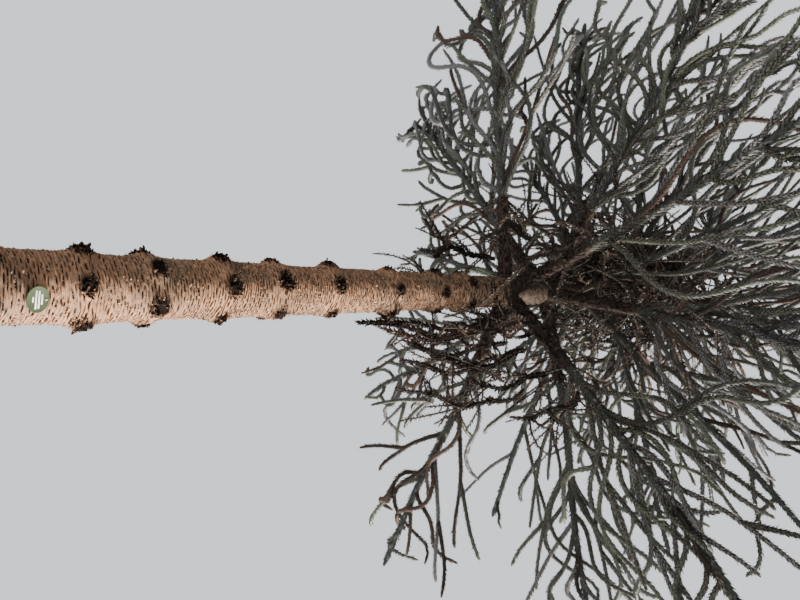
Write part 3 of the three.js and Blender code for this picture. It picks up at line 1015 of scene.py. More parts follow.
@dataclass(frozen=True)
class Stubs:
    """What is left of shed boughs: rosettes of dead scales round a few broken snags."""

    bole: Bole
    knots: list[Knot]
    snags: int = 3
    snag_sides: int = 7
    snag_shares: tuple = (-0.8, 0.1, 0.5, 0.85, 1.0)
    snag_girths: tuple = (1.25, 1.0, 0.9, 0.72, 0.5)
    snag_spread: float = 0.7
    snag_side_lean: float = 0.5
    snag_up_lean: float = 0.35
    snag_stray: float = 0.4
    snag_most_up: float = 0.6
    snag_lengths: tuple = (0.020, 0.042)
    snag_radii: tuple = (0.006, 0.011)
    snag_wobble: float = 0.28
    break_stray: float = 0.005
    break_hollow: float = 0.002
    half_width: float = 0.053
    half_height: float = 0.040
    scales_each: int = 210
    scale_length: float = 0.027
    scale_sizes: tuple = (0.6, 1.2)
    scale_girth: float = 0.3
    scale_tilts: tuple = (0.55, 1.35)
    scale_flattening: float = 0.45
    scale_stray: float = 0.3
    scale_sunk: float = 0.003
    tints: tuple = (Tint.CHAR,) * 8 + (Tint.OLD,) * 4 + (Tint.STRAW, Tint.TAN, Tint.PALE)
    seed: int = 47

    def place(self, knot: Knot, aside: float, above: float) -> Array:
        """The point on a knot's swelling that lies aside of its middle and above it.

        Args:
            knot: The knot.
            aside: Distance round the trunk.
            above: Distance upwards.

        Returns:
            The point.
        """
        bend = aside**2 / (2 * self.bole.radius(knot.height, knot.azimuth))
        out = knot.rise * knot.size * knot.nearness(aside, above) - bend
        foot = self.bole.skin(knot.height, knot.azimuth, out)
        return foot + polar(aside, knot.azimuth + 90, 0.0) + above * UP

    def snag(self, knot: Knot, numbers: np.random.Generator) -> tuple[Array, Array, Array, Array]:
        """One broken snag's sides and its end, each as corners and triangles.

        Args:
            knot: The knot.
            numbers: Source of the random numbers.

        Returns:
            Corners and triangles of the sides, and then those of the end.
        """
        out, side = outward_and_aside(knot.azimuth)
        aside, above = stray(numbers, self.snag_spread, 2)
        lean = side * (self.snag_side_lean * aside + stray(numbers, self.snag_stray))
        lean += UP * (self.snag_up_lean * above + numbers.uniform(-self.snag_stray, self.snag_most_up))
        direction = (out + lean) / np.linalg.norm(out + lean)
        length = numbers.uniform(*self.snag_lengths) * knot.size
        girth = numbers.uniform(*self.snag_radii) * knot.size
        start = self.place(knot, aside * self.half_width * knot.size, above * self.half_height * knot.size)
        across = np.cross(UP, direction)
        across /= np.linalg.norm(across)
        raised = np.cross(direction, across)
        angle = 2 * math.pi * np.arange(self.snag_sides) / self.snag_sides
        wobble = 1 + stray(numbers, self.snag_wobble, (len(self.snag_shares), self.snag_sides))
        wide = (np.array(self.snag_girths)[:, None] * girth * wobble)[:, :, None]
        ring = np.cos(angle)[:, None] * across + np.sin(angle)[:, None] * raised
        corners = start + direction * (np.array(self.snag_shares) * length)[:, None, None] + wide * ring
        corners[-1] += direction * stray(numbers, self.break_stray, self.snag_sides)[:, None]
        flat = corners.reshape(-1, 3)
        last = flat[-self.snag_sides :]
        end = np.vstack([last, last.mean(axis=0) - self.break_hollow * direction])
        around = np.arange(self.snag_sides)
        cap = np.stack([around, (around + 1) % self.snag_sides, 0 * around + self.snag_sides], axis=1)
        return flat, tube_faces(len(self.snag_shares), self.snag_sides), end, cap

    def scales(self, knot: Knot, numbers: np.random.Generator) -> tuple[Array, Array]:
        """The rosette of dead scales on one knot, as corners and triangles.

        Args:
            knot: The knot.
            numbers: Source of the random numbers.

        Returns:
            Corners, and the triangles of the leaves.
        """
        out, side = outward_and_aside(knot.azimuth)
        corners = []
        for k in range(self.scales_each):
            spread = math.sqrt((k + 0.5) / self.scales_each)
            angle = GOLDEN_ANGLE * k + stray(numbers, self.scale_stray)
            away = math.cos(angle) * side + math.sin(angle) * UP
            aside = spread * self.half_width * math.cos(angle) * knot.size
            above = spread * self.half_height * math.sin(angle) * knot.size
            base = self.place(knot, aside, above) - self.scale_sunk * out
            tilt = numbers.uniform(*self.scale_tilts) - self.scale_flattening * spread**2
            along = away * math.cos(tilt) + out * math.sin(tilt)
            wide = np.cross(along, out)
            wide /= np.linalg.norm(wide)
            size = self.scale_length * numbers.uniform(*self.scale_sizes) * knot.size
            keel = np.cross(wide, along)
            corners.append(leaf_corners(base, along, wide, keel, size, self.scale_girth * size))
        return np.concatenate(corners), leaf_faces(len(corners))

    def build(self) -> None:
        """Makes the snags, their broken ends and the scales."""
        numbers = np.random.default_rng(self.seed)
        sides, ends, scales, tints = [], [], [], []
        for knot in self.knots:
            for _ in range(self.snags):
                flat, faces, end, cap = self.snag(knot, numbers)
                sides.append((flat, faces))
                ends.append((end, cap))
            scales.append(self.scales(knot, numbers))
            tints += 2 * dealt(self.tints, self.scales_each, numbers)
        dress(from_arrays("stub_wood", *joined(sides), [Finish.STUB]), "bark", "trunk")
        dress(from_arrays("stub_ends", *joined(ends), [Finish.BROKEN]), "bark", "trunk")
        dress(tinted("stub_scales", *joined(scales), tints), "bark", "trunk")


@dataclass(frozen=True)
class Flakes:
    """Loose scales of bark that lie on the trunk, some of them standing off it."""

    bole: Bole
    count: int = 11000
    lowest: float = 0.12
    highest: float = 5.5
    length: float = 0.015
    sizes: tuple = (0.6, 1.3)
    girth: float = 0.36
    stands_off: float = 0.0025
    standing: float = 0.13
    standing_tilts: tuple = (0.5, 1.1)
    lying_tilts: tuple = (0.08, 0.3)
    steepness: float = 0.6
    clear_height: float = 0.07
    clear_width: float = 28.0
    tints: tuple = (Tint.TAN,) * 4 + (Tint.PALE, Tint.STRAW, Tint.RUST)
    seed: int = 59

    def build(self) -> None:
        """Makes the scales, all but those that the name plate would touch."""
        numbers = np.random.default_rng(self.seed)
        height = numbers.uniform(self.lowest, self.highest, self.count)
        azimuth = numbers.uniform(-180, 180, self.count)
        near = np.abs(height - PLATE_LEVEL) < self.clear_height
        near &= np.abs(azimuth - PLATE_AZIMUTH) < self.clear_width
        height, azimuth = height[~near], azimuth[~near]
        count = len(height)
        out, side = outward_and_aside(azimuth)
        stands = numbers.random(count) < self.standing
        standing = numbers.uniform(*self.standing_tilts, count)
        tilt = np.where(stands, standing, numbers.uniform(*self.lying_tilts, count))[:, None]
        turn = stray(numbers, math.pi, count)[:, None]
        lying = self.steepness * np.sin(turn) * UP + np.cos(turn) * side
        lying /= np.linalg.norm(lying, axis=1, keepdims=True)
        along = np.cos(tilt) * lying + np.sin(tilt) * out
        wide = np.cross(lying, out)
        size = (self.length * numbers.uniform(*self.sizes, count))[:, None]
        base = self.bole.skin(height, azimuth, self.stands_off)
        corners = leaf_corners(base, along, wide, np.cross(wide, along), size, size * self.girth)
        tints = 2 * dealt(self.tints, count, numbers)
        dress(tinted("bark_flakes", corners, leaf_faces(count), tints), "bark", "trunk")


# Boughs and shoots


@dataclass(frozen=True)
class Place:
    """Where a bough leaves the trunk, and the half width of its wedge of the crown in degrees."""

    index: int
    whorl: int
    number: int
    level: float
    azimuth: float
    half_wedge: float


@dataclass(frozen=True)
class Crown:
    """The crown: whorls of boughs, flat and drooping at its base and steep at its top."""

    base: float = 6.25
    whorl_step: float = 0.62
    whorl_boughs: tuple = (5, 5, 5, 5, 5, 5, 4, 4, 4, 3)
    first_azimuth: float = -43.0
    reach_low: float = 3.25
    reach_top: float = 0.85
    reach_power: float = 2.2
    rise_low: float = 8.0
    rise_top: float = 52.0
    rise_power: float = 1.4
    droop_low: float = 0.078
    droop_least: float = 0.2
    droop_azimuth: float = -43.0
    shed_bough: tuple = (1, 3)

    def share(self, level: Array) -> Array:
        """How high up the crown a level is, from 0 at its lowest whorl to 1 at its highest."""
        return (level - self.base) / (self.whorl_step * (len(self.whorl_boughs) - 1))

    def reach(self, level: float) -> float:
        """How far from the trunk the foliage of a whorl reaches."""
        share = min(max(self.share(level), 0), 1)
        return self.reach_top + (self.reach_low - self.reach_top) * (1 - share**self.reach_power)

    def point(self, level: Array, distance: Array, azimuth: Array) -> Array:
        """Points on the boughs of a level, at a distance and azimuth from the trunk's line.

        Args:
            level: Height at which the boughs leave the trunk.
            distance: Distance from the trunk's line.
            azimuth: Azimuth, in degrees.

        Returns:
            The points.
        """
        share = self.share(level)
        steepness = np.maximum(share, 0) ** self.rise_power
        rise = blend(math.tan(math.radians(self.rise_low)), math.tan(math.radians(self.rise_top)), steepness)
        heavy_side = (1 + np.cos(np.radians(azimuth - self.droop_azimuth))) / 2
        droop = self.droop_low * np.maximum(1 - share, 0) * blend(self.droop_least, 1, heavy_side)
        return polar(distance, azimuth, level + rise * distance - droop * distance**2)

    def places(self) -> list[Place]:
        """Every bough's place, whorl by whorl, but for the one that was shed."""
        found = []
        for i, count in enumerate(self.whorl_boughs):
            for k in range(count):
                if (i + 1, k + 1) == self.shed_bough:
                    continue
                azimuth = self.first_azimuth + 360 / count * (k + (i % 2) / 2)
                level = self.base + self.whorl_step * i
                found.append(Place(len(found), i + 1, k + 1, level, azimuth, 180 / count))
        return found


@dataclass(frozen=True)
class Space:
    """The wedge and layer of the crown that one mass of foliage keeps to."""

    crown: Crown
    place: Place
    half_layer: float = 0.29
    most_lift: float = 0.46
    margin: float = 0.048

    @property
    def reach(self) -> float:
        """How far from the trunk this mass reaches."""
        return self.crown.reach(self.place.level)

    def points(self, line: Array) -> Array:
        """Points from rows of distance along the bough, sideways from it, and lift in the layer.

        Args:
            line: The rows.

        Returns:
            The points, in the tree's own frame.
        """
        along, aside, lift = line[:, 0], line[:, 1], line[:, 2]
        azimuth = self.place.azimuth + np.degrees(np.arctan2(aside, along))
        level = self.place.level + np.clip(lift, -self.half_layer, self.most_lift)
        return self.crown.point(level, np.hypot(along, aside), azimuth)

    def holds(self, along: float, aside: float) -> bool:
        """Whether a place along and aside is inside the wedge and the crown's reach."""
        distance = math.hypot(along, aside)
        room = distance * math.sin(math.radians(self.place.half_wedge) - abs(math.atan2(aside, along)))
        return room > self.margin and distance < self.reach


@dataclass(frozen=True)
class Cover:
    """The leaves on a shoot: how long they are, how they lean off it, and how many it has in a metre."""

    length: float = 0.037
    lean: float = 28.0
    lean_spread: float = 8.0
    per_metre: float = 260.0
    fewest: int = 6
    sizes: tuple = (0.78, 1.15)
    girth: float = 0.26
    foot_share: float = 0.8
    bud_length: float = 0.08
    bud_closing: float = 0.8
    bud_shrinking: float = 0.35


@dataclass(frozen=True)
class ShootForm:
    """The form of a shoot: radius of its wood at its root and tip, its leaves, and its sides."""

    root: float
    tip: float
    cover: Cover = Cover()
    sides: int = 5


class ShootKind(Enum):
    """The forms of the shoots that are alike all over the tree."""

    FINE = ShootForm(0.021, 0.012)
    DRY = ShootForm(0.009, 0.0045, Cover(0.031, 46.0, 14.0, 150.0), 4)
    HANGING = ShootForm(0.013, 0.007, Cover(0.042, 38.0, 12.0))
    LEADER = ShootForm(0.02, 0.011, Cover(per_metre=280.0))
    BESIDE_LEADER = ShootForm(0.014, 0.009, Cover(per_metre=250.0))


@dataclass(frozen=True)
class Rope:
    """A shoot: the points of its woody middle, its form, its tint, and how far it is bare."""

    points: Array
    form: ShootForm
    tint: Tint
    bare_length: float = 0.0
    half_chord: float = 0.03
    step: float = 0.1
    fewest_rings: int = 3

    def run(self) -> Array:
        """Distance from the root to each point."""
        return np.concatenate([[0.0], np.cumsum(np.linalg.norm(np.diff(self.points, axis=0), axis=1))])

    def places(self, distance: Array) -> Array:
        """Points at distances from the root."""
        run = self.run()
        return np.stack([np.interp(distance, run, self.points[:, k]) for k in range(3)], axis=1)

    def axes(self, distance: Array) -> tuple[Array, Array, Array]:
        """The rope's direction at distances from its root, and two directions across it.

        Args:
            distance: The distances.

        Returns:
            The three directions, one row for each distance.
        """
        ahead = self.places(distance + self.half_chord) - self.places(distance - self.half_chord)
        ahead /= np.linalg.norm(ahead, axis=1, keepdims=True)
        flattest = np.linalg.svd(ahead, full_matrices=False)[2][-1]
        across = np.cross(flattest, ahead)
        across /= np.linalg.norm(across, axis=1, keepdims=True)
        return ahead, across, np.cross(ahead, across)

    def leaves(self, numbers: np.random.Generator) -> tuple[Array, Array]:
        """The leaves round the rope, as corners and triangles.

        Args:
            numbers: Source of the random numbers.

        Returns:
            Corners, and the triangles of the leaves.
        """
        cover = self.form.cover
        total = self.run()[-1]
        leafy = total - self.bare_length
        count = max(cover.fewest, nearest(leafy * cover.per_metre))
        distance = self.bare_length + leafy * (np.arange(count) + 0.5) / count
        ahead, across, above = self.axes(distance)
        angle = GOLDEN_ANGLE * np.arange(count) + numbers.uniform(0, 2 * math.pi)
        out = np.cos(angle)[:, None] * across + np.sin(angle)[:, None] * above
        bud = np.clip(1 - (total - distance) / cover.bud_length, 0, 1)
        lean = cover.lean * (1 - cover.bud_closing * bud) + numbers.normal(0, cover.lean_spread, count)
        lean = np.radians(lean)[:, None]
        sizes = numbers.uniform(*cover.sizes, count)
        size = (cover.length * sizes * (1 - cover.bud_shrinking * bud))[:, None]
        core = blend(self.form.root, self.form.tip, distance / total)[:, None]
        along = np.cos(lean) * ahead + np.sin(lean) * out
        wide = np.cross(ahead, out)
        base = self.places(distance) + cover.foot_share * core * out
        corners = leaf_corners(base, along, wide, np.cross(wide, along), size, cover.girth * size)
        return corners, leaf_faces(count)

    def wood(self) -> tuple[Array, Array]:
        """The rope's woody middle, closed at both ends, as corners and triangles."""
        sides = self.form.sides
        total = self.run()[-1]
        rings = max(self.fewest_rings, nearest(total / self.step) + 1)
        distance = np.linspace(0, total, rings)
        _, across, above = self.axes(distance)
        radius = blend(self.form.root, self.form.tip, distance / total)[:, None, None]
        angle = 2 * math.pi * np.arange(sides) / sides
        ring = np.cos(angle)[None, :, None] * across[:, None] + np.sin(angle)[None, :, None] * above[:, None]
        corners = (self.places(distance)[:, None] + radius * ring).reshape(-1, 3)
        last = (rings - 1) * sides
        fans = [[0, k, k - 1] for k in range(2, sides)]
        fans += [[last, last + k - 1, last + k] for k in range(2, sides)]
        return corners, np.vstack([tube_faces(rings, sides), np.array(fans)])


@dataclass(frozen=True)
class Opening:
    """A gap between the fine shoots, which can be seen through from the low viewpoint."""

    azimuth: float
    rise: float
    half_width: float

    def holds(self, points: Array) -> Array:
        """Which of some points lie in the line of the gap."""
        away = points - np.array(EYE)
        away /= np.linalg.norm(away, axis=1, keepdims=True)
        return away @ skyward(self.azimuth, self.rise) > math.cos(math.radians(self.half_width))


@dataclass(frozen=True)
class SideShoots:
    """One kind of side shoot: how many a stem has, how long they are, and the limits of what varies."""

    low_count: int
    top_count: int
    longest: float
    outermost: float
    spare_room: float
    places: tuple
    lengths: tuple
    headings: tuple
    bends: tuple
    lifts: tuple


@dataclass(frozen=True)
class Outset:
    """How a side shoot sets out: its root, heading and length, and its tip's heading and lift."""

    root: Array
    heading: float
    length: float
    bend: float
    lift: float


@dataclass(frozen=True)
class Growth:
    """The rule by which stems and side shoots grow, and how far it is carried on."""

    crown: Crown
    seed: int = 7951
    bare_whorls: int = 2
    bough_end: float = 0.82
    stem_start: float = 0.02
    stem_step: float = 0.9
    stem_share: float = 0.985
    stem_waver: float = 0.04
    stem_lift: float = 0.11
    tooth_step: float = 0.62
    tooth_lean: float = 0.3
    first_shoot: float = 0.3
    first_gap: float = 0.06
    extra_lead: float = 0.08
    spread_at_root: float = 54.0
    spread_at_tip: float = 12.0
    slopes: tuple = (0.1, 1.0)
    room_share: float = 1.05
    main: SideShoots = SideShoots(
        low_count=7,
        top_count=3,
        longest=1.45,
        outermost=0.86,
        spare_room=0.16,
        places=(0.2, 0.8),
        lengths=(0.85, 1.05),
        headings=(-7.0, 7.0),
        bends=(-10.0, 14.0),
        lifts=(-0.75, 1.0),
    )
    fork_from: float = 1.23
    fork_share: float = 0.5
    fork_turn: float = 42.0
    fork_bend: float = 14.0
    fork_lifts: tuple = (-0.6, 0.8)
    extra: SideShoots = SideShoots(
        low_count=25,
        top_count=12,
        longest=1.9,
        outermost=0.95,
        spare_room=0.2,
        places=(0.0, 1.0),
        lengths=(0.66, 1.08),
        headings=(-24.0, 20.0),
        bends=(-52.0, 46.0),
        lifts=(-1.0, 1.45),
    )
    extra_forks: float = 0.32
    extra_fork_from: int = 7
    extra_fork_places: tuple = (0.3, 0.6)
    extra_fork_turn: float = 40.0
    extra_fork_bends: tuple = (-10.0, 10.0)
    extra_fork_lifts: tuple = (-0.4, 0.5)
    extra_fork_phase: float = 2.0
    fine_step: float = 0.11
    fewest_steps: int = 4
    fewest_points: int = 4
    open_azimuth: float = -65.0
    open_share: float = 0.80
    density: tuple = (
        ((1, 2), 0.35),
        ((1, 4), 1.50),
        ((1, 5), 0.50),
        ((2, 1), 0.70),
        ((2, 2), 0.50),
        ((2, 3), 1.25),
        ((2, 4), 1.60),
        ((3, 1), 0.30),
        ((3, 2), 0.20),
        ((3, 4), 1.50),
        ((3, 5), 0.40),
        ((5, 1), 0.35),
        ((5, 5), 0.50),
        ((6, 4), 0.40),
    )
    openings: tuple = (
        Opening(47.5, 72.1, 4.0),
        Opening(35.5, 67.2, 4.4),
        Opening(67.3, 55.2, 3.0),
        Opening(116.8, 74.4, 1.7),
        Opening(111.1, 59.6, 0.9),
        Opening(105.2, 65.9, 0.9),
        Opening(124.1, 68.8, 0.9),
    )
    crossing: float = 0.15
    sag: float = 0.05
    upturn: float = 0.3
    lift_waver: float = 0.03
    lift_waves: float = 6.0
    waver: float = 31.0
    waves: float = 8.0

    def shoot(self, space: Space, outset: Outset, phase: float | None = None) -> Array:
        """The line of a side shoot.

        Args:
            space: The mass's space, outside which the line stops.
            outset: How the shoot sets out.
            phase: Where the waver of a fine shoot starts; without it the line has the solid's few
                straight steps.

        Returns:
            Rows of distance along, aside, lift and heading.
        """
        fine = phase is not None
        steps = 2 * max(1, nearest(outset.length / self.tooth_step))
        if fine:
            steps = max(self.fewest_steps, nearest(outset.length / self.fine_step))
        line = [(*outset.root[:3], outset.heading)]
        for i in range(1, steps + 1):
            share = i / steps
            lean = 0 if fine else self.tooth_lean * (1 if i % 2 else -1)
            step = (outset.length / steps) * (1 + lean)
            turned = outset.heading + (outset.bend - outset.heading) * math.sqrt(share)
            if fine:
                turned += self.waver * math.sin(phase + self.waves * share)
            along = line[-1][0] + step * math.cos(math.radians(turned))
            aside = line[-1][1] + step * math.sin(math.radians(turned))
            if not space.holds(along, aside):
                break
            curl = self.curl(share, phase) if fine else 0
            lift = outset.root[2] + outset.lift * share * share + curl * outset.length
            line.append((along, aside, lift, turned))
        return np.array(line)

    def curl(self, share: float, phase: float) -> float:
        """How far a fine shoot is raised along its length, as a share of that length."""
        wave = self.lift_waver * math.sin(2 * phase + self.lift_waves * share) * share
        return self.upturn * share**3 - self.sag * math.sin(math.pi * share) + wave

    def stem(self, space: Space, start: float, stream: NumberStream) -> Array:
        """The line of a mass's stem, which wavers a little and turns up at its tip.

        Args:
            space: The mass's space.
            start: Where on the bough it starts.
            stream: Source of the numbers.

        Returns:
            Rows of distance along, aside, lift and heading.
        """
        reach = space.reach * self.stem_share
        steps = 2 * max(2, nearest((reach - start) / self.stem_step))
        phase = stream.between(0, 2 * math.pi)
        share = np.linspace(0, 1, steps + 1)
        aside = self.stem_waver * share * np.sin(phase + 2 * math.pi * share)
        return np.stack([blend(start, reach, share), aside, self.stem_lift * share**3, 0 * share], axis=1)

    @staticmethod
    def place_on(line: Array, along: float) -> Array:
        """The place on a stem's line at a distance along the bough."""
        return np.array([np.interp(along, line[:, 0], line[:, k]) for k in range(3)])

    def smoothed(self, line: Array) -> Array:
        """A line through the same places with rounded corners and short steps.

        Args:
            line: Its rows.

        Returns:
            More rows, of the same kind.
        """
        padded = np.vstack([2 * line[0] - line[1], line, 2 * line[-1] - line[-2]])
        rows = [line[:1]]
        for i in range(1, len(padded) - 2):
            p, q, r, s = padded[i - 1 : i + 3]
            count = max(1, nearest(np.linalg.norm(r[:2] - q[:2]) / self.fine_step))
            t = (np.arange(1, count + 1) / count)[:, None]
            square = (2 * p - 5 * q + 4 * r - s) * t**2
            rows.append(0.5 * (2 * q + (r - p) * t + square + (3 * q - p - 3 * r + s) * t**3))
        return np.vstack(rows)

    def outsets(
        self, kind: SideShoots, count: int, space: Space, stem: Array, start: float, stream: NumberStream
    ) -> Iterator[Outset]:
        """How the side shoots of one kind set out, by turns on either side of their stem.

        Args:
            kind: The kind of shoot.
            count: How many there are.
            space: The mass's space.
            stem: The stem's line.
            start: Where on the stem the first one may be.
            stream: Source of the numbers.

        Yields:
            The next shoot's outset, whose numbers are drawn only then.
        """
        share = self.crown.share(space.place.level)
        shortening = math.cos(math.atan(blend(*self.slopes, share)))
        for i in range(count):
            side = -1 if i % 2 else 1
            place = (i + stream.between(*kind.places)) / count
            along = blend(start, space.reach * kind.outermost, place)
            room = (space.reach - along) * self.room_share + kind.spare_room
            length = min(kind.longest, room) * stream.between(*kind.lengths) * shortening
            heading = side * (self.spread_at_root + stream.between(*kind.headings))
            bend = side * (self.spread_at_tip + stream.between(*kind.bends))
            lift = stream.between(*kind.lifts) * space.half_layer
            yield Outset(self.place_on(stem, along), heading, length, bend, lift)

    def main_shoots(self, space: Space, stem: Array, start: float, stream: NumberStream) -> list[Array]:
        """The side shoots and forks that the solid has, with rounded corners.

        Args:
            space: The mass's space.
            stem: The stem's line.
            start: Where on the stem the first one may be.
            stream: Source of the numbers.

        Returns:
            Their lines.
        """
        share = self.crown.share(space.place.level)
        count = nearest(blend(self.main.low_count, self.main.top_count, share))
        lines = []
        for outset in self.outsets(self.main, count, space, stem, start, stream):
            line = self.shoot(space, outset)
            if len(line) < 3:
                continue
            if len(line) % 2 == 0:
                line = line[:-1]
            lines.append(self.smoothed(line))
            side = -1 if stream.next() < 0.5 else 1
            lift = stream.between(*self.fork_lifts) * space.half_layer
            if outset.length < self.fork_from or len(line) < 4:
                continue
            fork = line[len(line) // 2]
            turn, tip = fork[3] + side * self.fork_turn, fork[3] + side * self.fork_bend
            length = outset.length * self.fork_share
            branch = self.shoot(space, Outset(fork, turn, length, tip, lift - fork[2]))
            if len(branch) == 3:
                lines.append(self.smoothed(branch))
        return lines

    def cut_short(self, space: Space, line: Array, phase: float) -> Array:
        """A fine shoot up to the first opening that it would grow into; a few cross them all.

        Args:
            space: The mass's space.
            line: The shoot's line.
            phase: Where its waver starts, by which it may or may not cross.

        Returns:
            The line that is kept.
        """
        if phase < 2 * math.pi * self.crossing:
            return line
        inside = np.any([opening.holds(space.points(line)) for opening in self.openings], axis=0)
        return line[: np.argmax(inside)] if inside.any() else line

    def extra_shoots(self, space: Space, stem: Array, start: float, stream: NumberStream) -> list[Array]:
        """The finer side shoots between those of the solid, some with forks of their own.

        Args:
            space: The mass's space.
            stem: The stem's line.
            start: Where on the stem the first one may be.
            stream: Source of the numbers.

        Returns:
            Their lines.
        """
        share = self.crown.share(space.place.level)
        away = (1 - math.cos(math.radians(space.place.azimuth - self.open_azimuth))) / 2
        density = dict(self.density).get((space.place.whorl, space.place.number), 1.0)
        most = blend(self.extra.low_count, self.extra.top_count, share)
        count = nearest(most * blend(self.open_share, 1, away) * density)
        lines = []
        for outset in self.outsets(self.extra, count, space, stem, start, stream):
            phase = stream.between(0, 2 * math.pi)
            line = self.shoot(space, outset, phase)
            if len(line) < self.fewest_points:
                continue
            kept = self.cut_short(space, line, phase)
            lines.append(kept)
            if stream.next() < self.extra_forks and len(line) > self.extra_fork_from:
                place = nearest(len(line) * stream.between(*self.extra_fork_places))
                fork = line[place]
                turn = fork[3] + self.extra_fork_turn * (1 if stream.next() < 0.5 else -1)
                tip = fork[3] + stream.between(*self.extra_fork_bends)
                rise = stream.between(*self.extra_fork_lifts) * space.half_layer
                branching = Outset(fork, turn, outset.length * self.fork_share, tip, rise)
                branch = self.shoot(space, branching, phase + self.extra_fork_phase)
                if place < len(kept):
                    lines.append(self.cut_short(space, branch, phase))
        return [line for line in lines if len(line) >= self.fewest_points]


@dataclass(frozen=True)
class Mass:
    """One bough's leafy stem and side shoots."""

    growth: Growth
    place: Place
    stem_root: float = 0.042
    stem_top_root: float = 0.024
    stem_tip: float = 0.014
    stem_bare: float = 0.11
    stem_sides: int = 8
    stem_cover: Cover = Cover(0.055, per_metre=340.0)
    tangle_whorls: tuple = (2, 6)
    tangled: int = 12
    hanging: int = 4
    tangle_start: tuple = (0.12, 1.0)
    tangle_length: tuple = (0.3, 0.8)
    tangle_turn: float = 130.0
    tangle_fall: tuple = (-0.35, 0.75)
    tangle_curl: float = 0.9
    tangle_run: float = 0.75
    tangle_bow: float = 0.25
    tangle_points: int = 9
    inner_end: float = 0.5
    inner_reach: float = 0.95
    inner_dead: float = 0.42
    outer_dead: float = 0.05
    dying_places: tuple = ((1, 2),)
    dying_share: float = 0.7
    main_stride: int = 31
    fine_stride: int = 17
    fine_shift: int = 101

    @property
    def is_bare(self) -> bool:
        """Whether a bare limb comes before the foliage."""
        return self.place.whorl <= self.growth.bare_whorls

    @property
    def node(self) -> str:
        """The CAD node that this mass stands for."""
        return f"foliage_{self.place.whorl}_{self.place.number}"

    def tint(self, along: float, stream: NumberStream) -> Tint:
        """The tint of a spray that leaves the stem at a distance from the trunk's line.

        Args:
            along: That distance.
            stream: Source of the numbers.

        Returns:
            The tint.
        """
        outwards = min(1.0, max(0.0, (along - self.inner_end) / self.inner_reach))
        dead = blend(self.inner_dead, self.outer_dead, outwards)
        if (self.place.whorl, self.place.number) in self.dying_places:
            dead = self.dying_share
        family = DEAD_TINTS if stream.next() < dead else LIVE_TINTS
        return family[int(stream.next() * len(family))]

    def tangle(self, space: Space, stem: Array, stream: NumberStream) -> list[Rope]:
        """Dead shoots that hang and curl round the inner end of the stem.

        Args:
            space: The mass's space.
            stem: The stem's line.
            stream: Source of the numbers.

        Returns:
            The shoots.
        """
        first, last = self.tangle_whorls
        count = self.tangled if first <= self.place.whorl <= last else self.hanging
        share = np.linspace(0, 1, self.tangle_points)[:, None]
        bow = self.tangle_bow * np.sin(math.pi * share) * UP
        found = []
        for _ in range(count):
            along = stream.between(*self.tangle_start)
            start = space.points(self.growth.place_on(stem, along)[None, :])[0]
            turn = stream.between(-self.tangle_turn, self.tangle_turn)
            away, aside = outward_and_aside(self.place.azimuth + turn)
            length = stream.between(*self.tangle_length)
            fall = stream.between(*self.tangle_fall)
            curl = stream.between(-self.tangle_curl, self.tangle_curl)
            run = self.tangle_run * share * away
            path = start + length * (run + share**2 * (curl * aside - fall * UP) + bow)
            tint = CAUGHT_SHADED_TINTS[int(stream.next() * len(CAUGHT_SHADED_TINTS))]
            found.append(Rope(path, ShootKind.DRY.value, tint))
        return found

    def ropes(self) -> list[Rope]:
        """The stem and every shoot of the mass."""
        growth, space = self.growth, Space(self.growth.crown, self.place)
        start = growth.bough_end if self.is_bare else growth.stem_start
        stream = NumberStream(growth.seed + self.main_stride * (self.place.index + 1))
        fine = NumberStream(growth.seed + self.fine_stride * (self.place.index + self.fine_shift))
        stem = growth.stem(space, start, stream)
        first = max(start, growth.first_shoot) + growth.first_gap
        lines = growth.main_shoots(space, stem, first, stream)
        lines += growth.extra_shoots(space, stem, first - growth.extra_lead, fine)
        root = blend(self.stem_root, self.stem_top_root, growth.crown.share(self.place.level))
        form = ShootForm(root, self.stem_tip, self.stem_cover, self.stem_sides)
        bare = 0.0 if self.is_bare else self.stem_bare
        found = [Rope(space.points(growth.smoothed(stem)), form, Tint.DEEP, bare)]
        for line in lines:
            found.append(Rope(space.points(line), ShootKind.FINE.value, self.tint(line[0][0], fine)))
        return found + self.tangle(space, stem, fine)


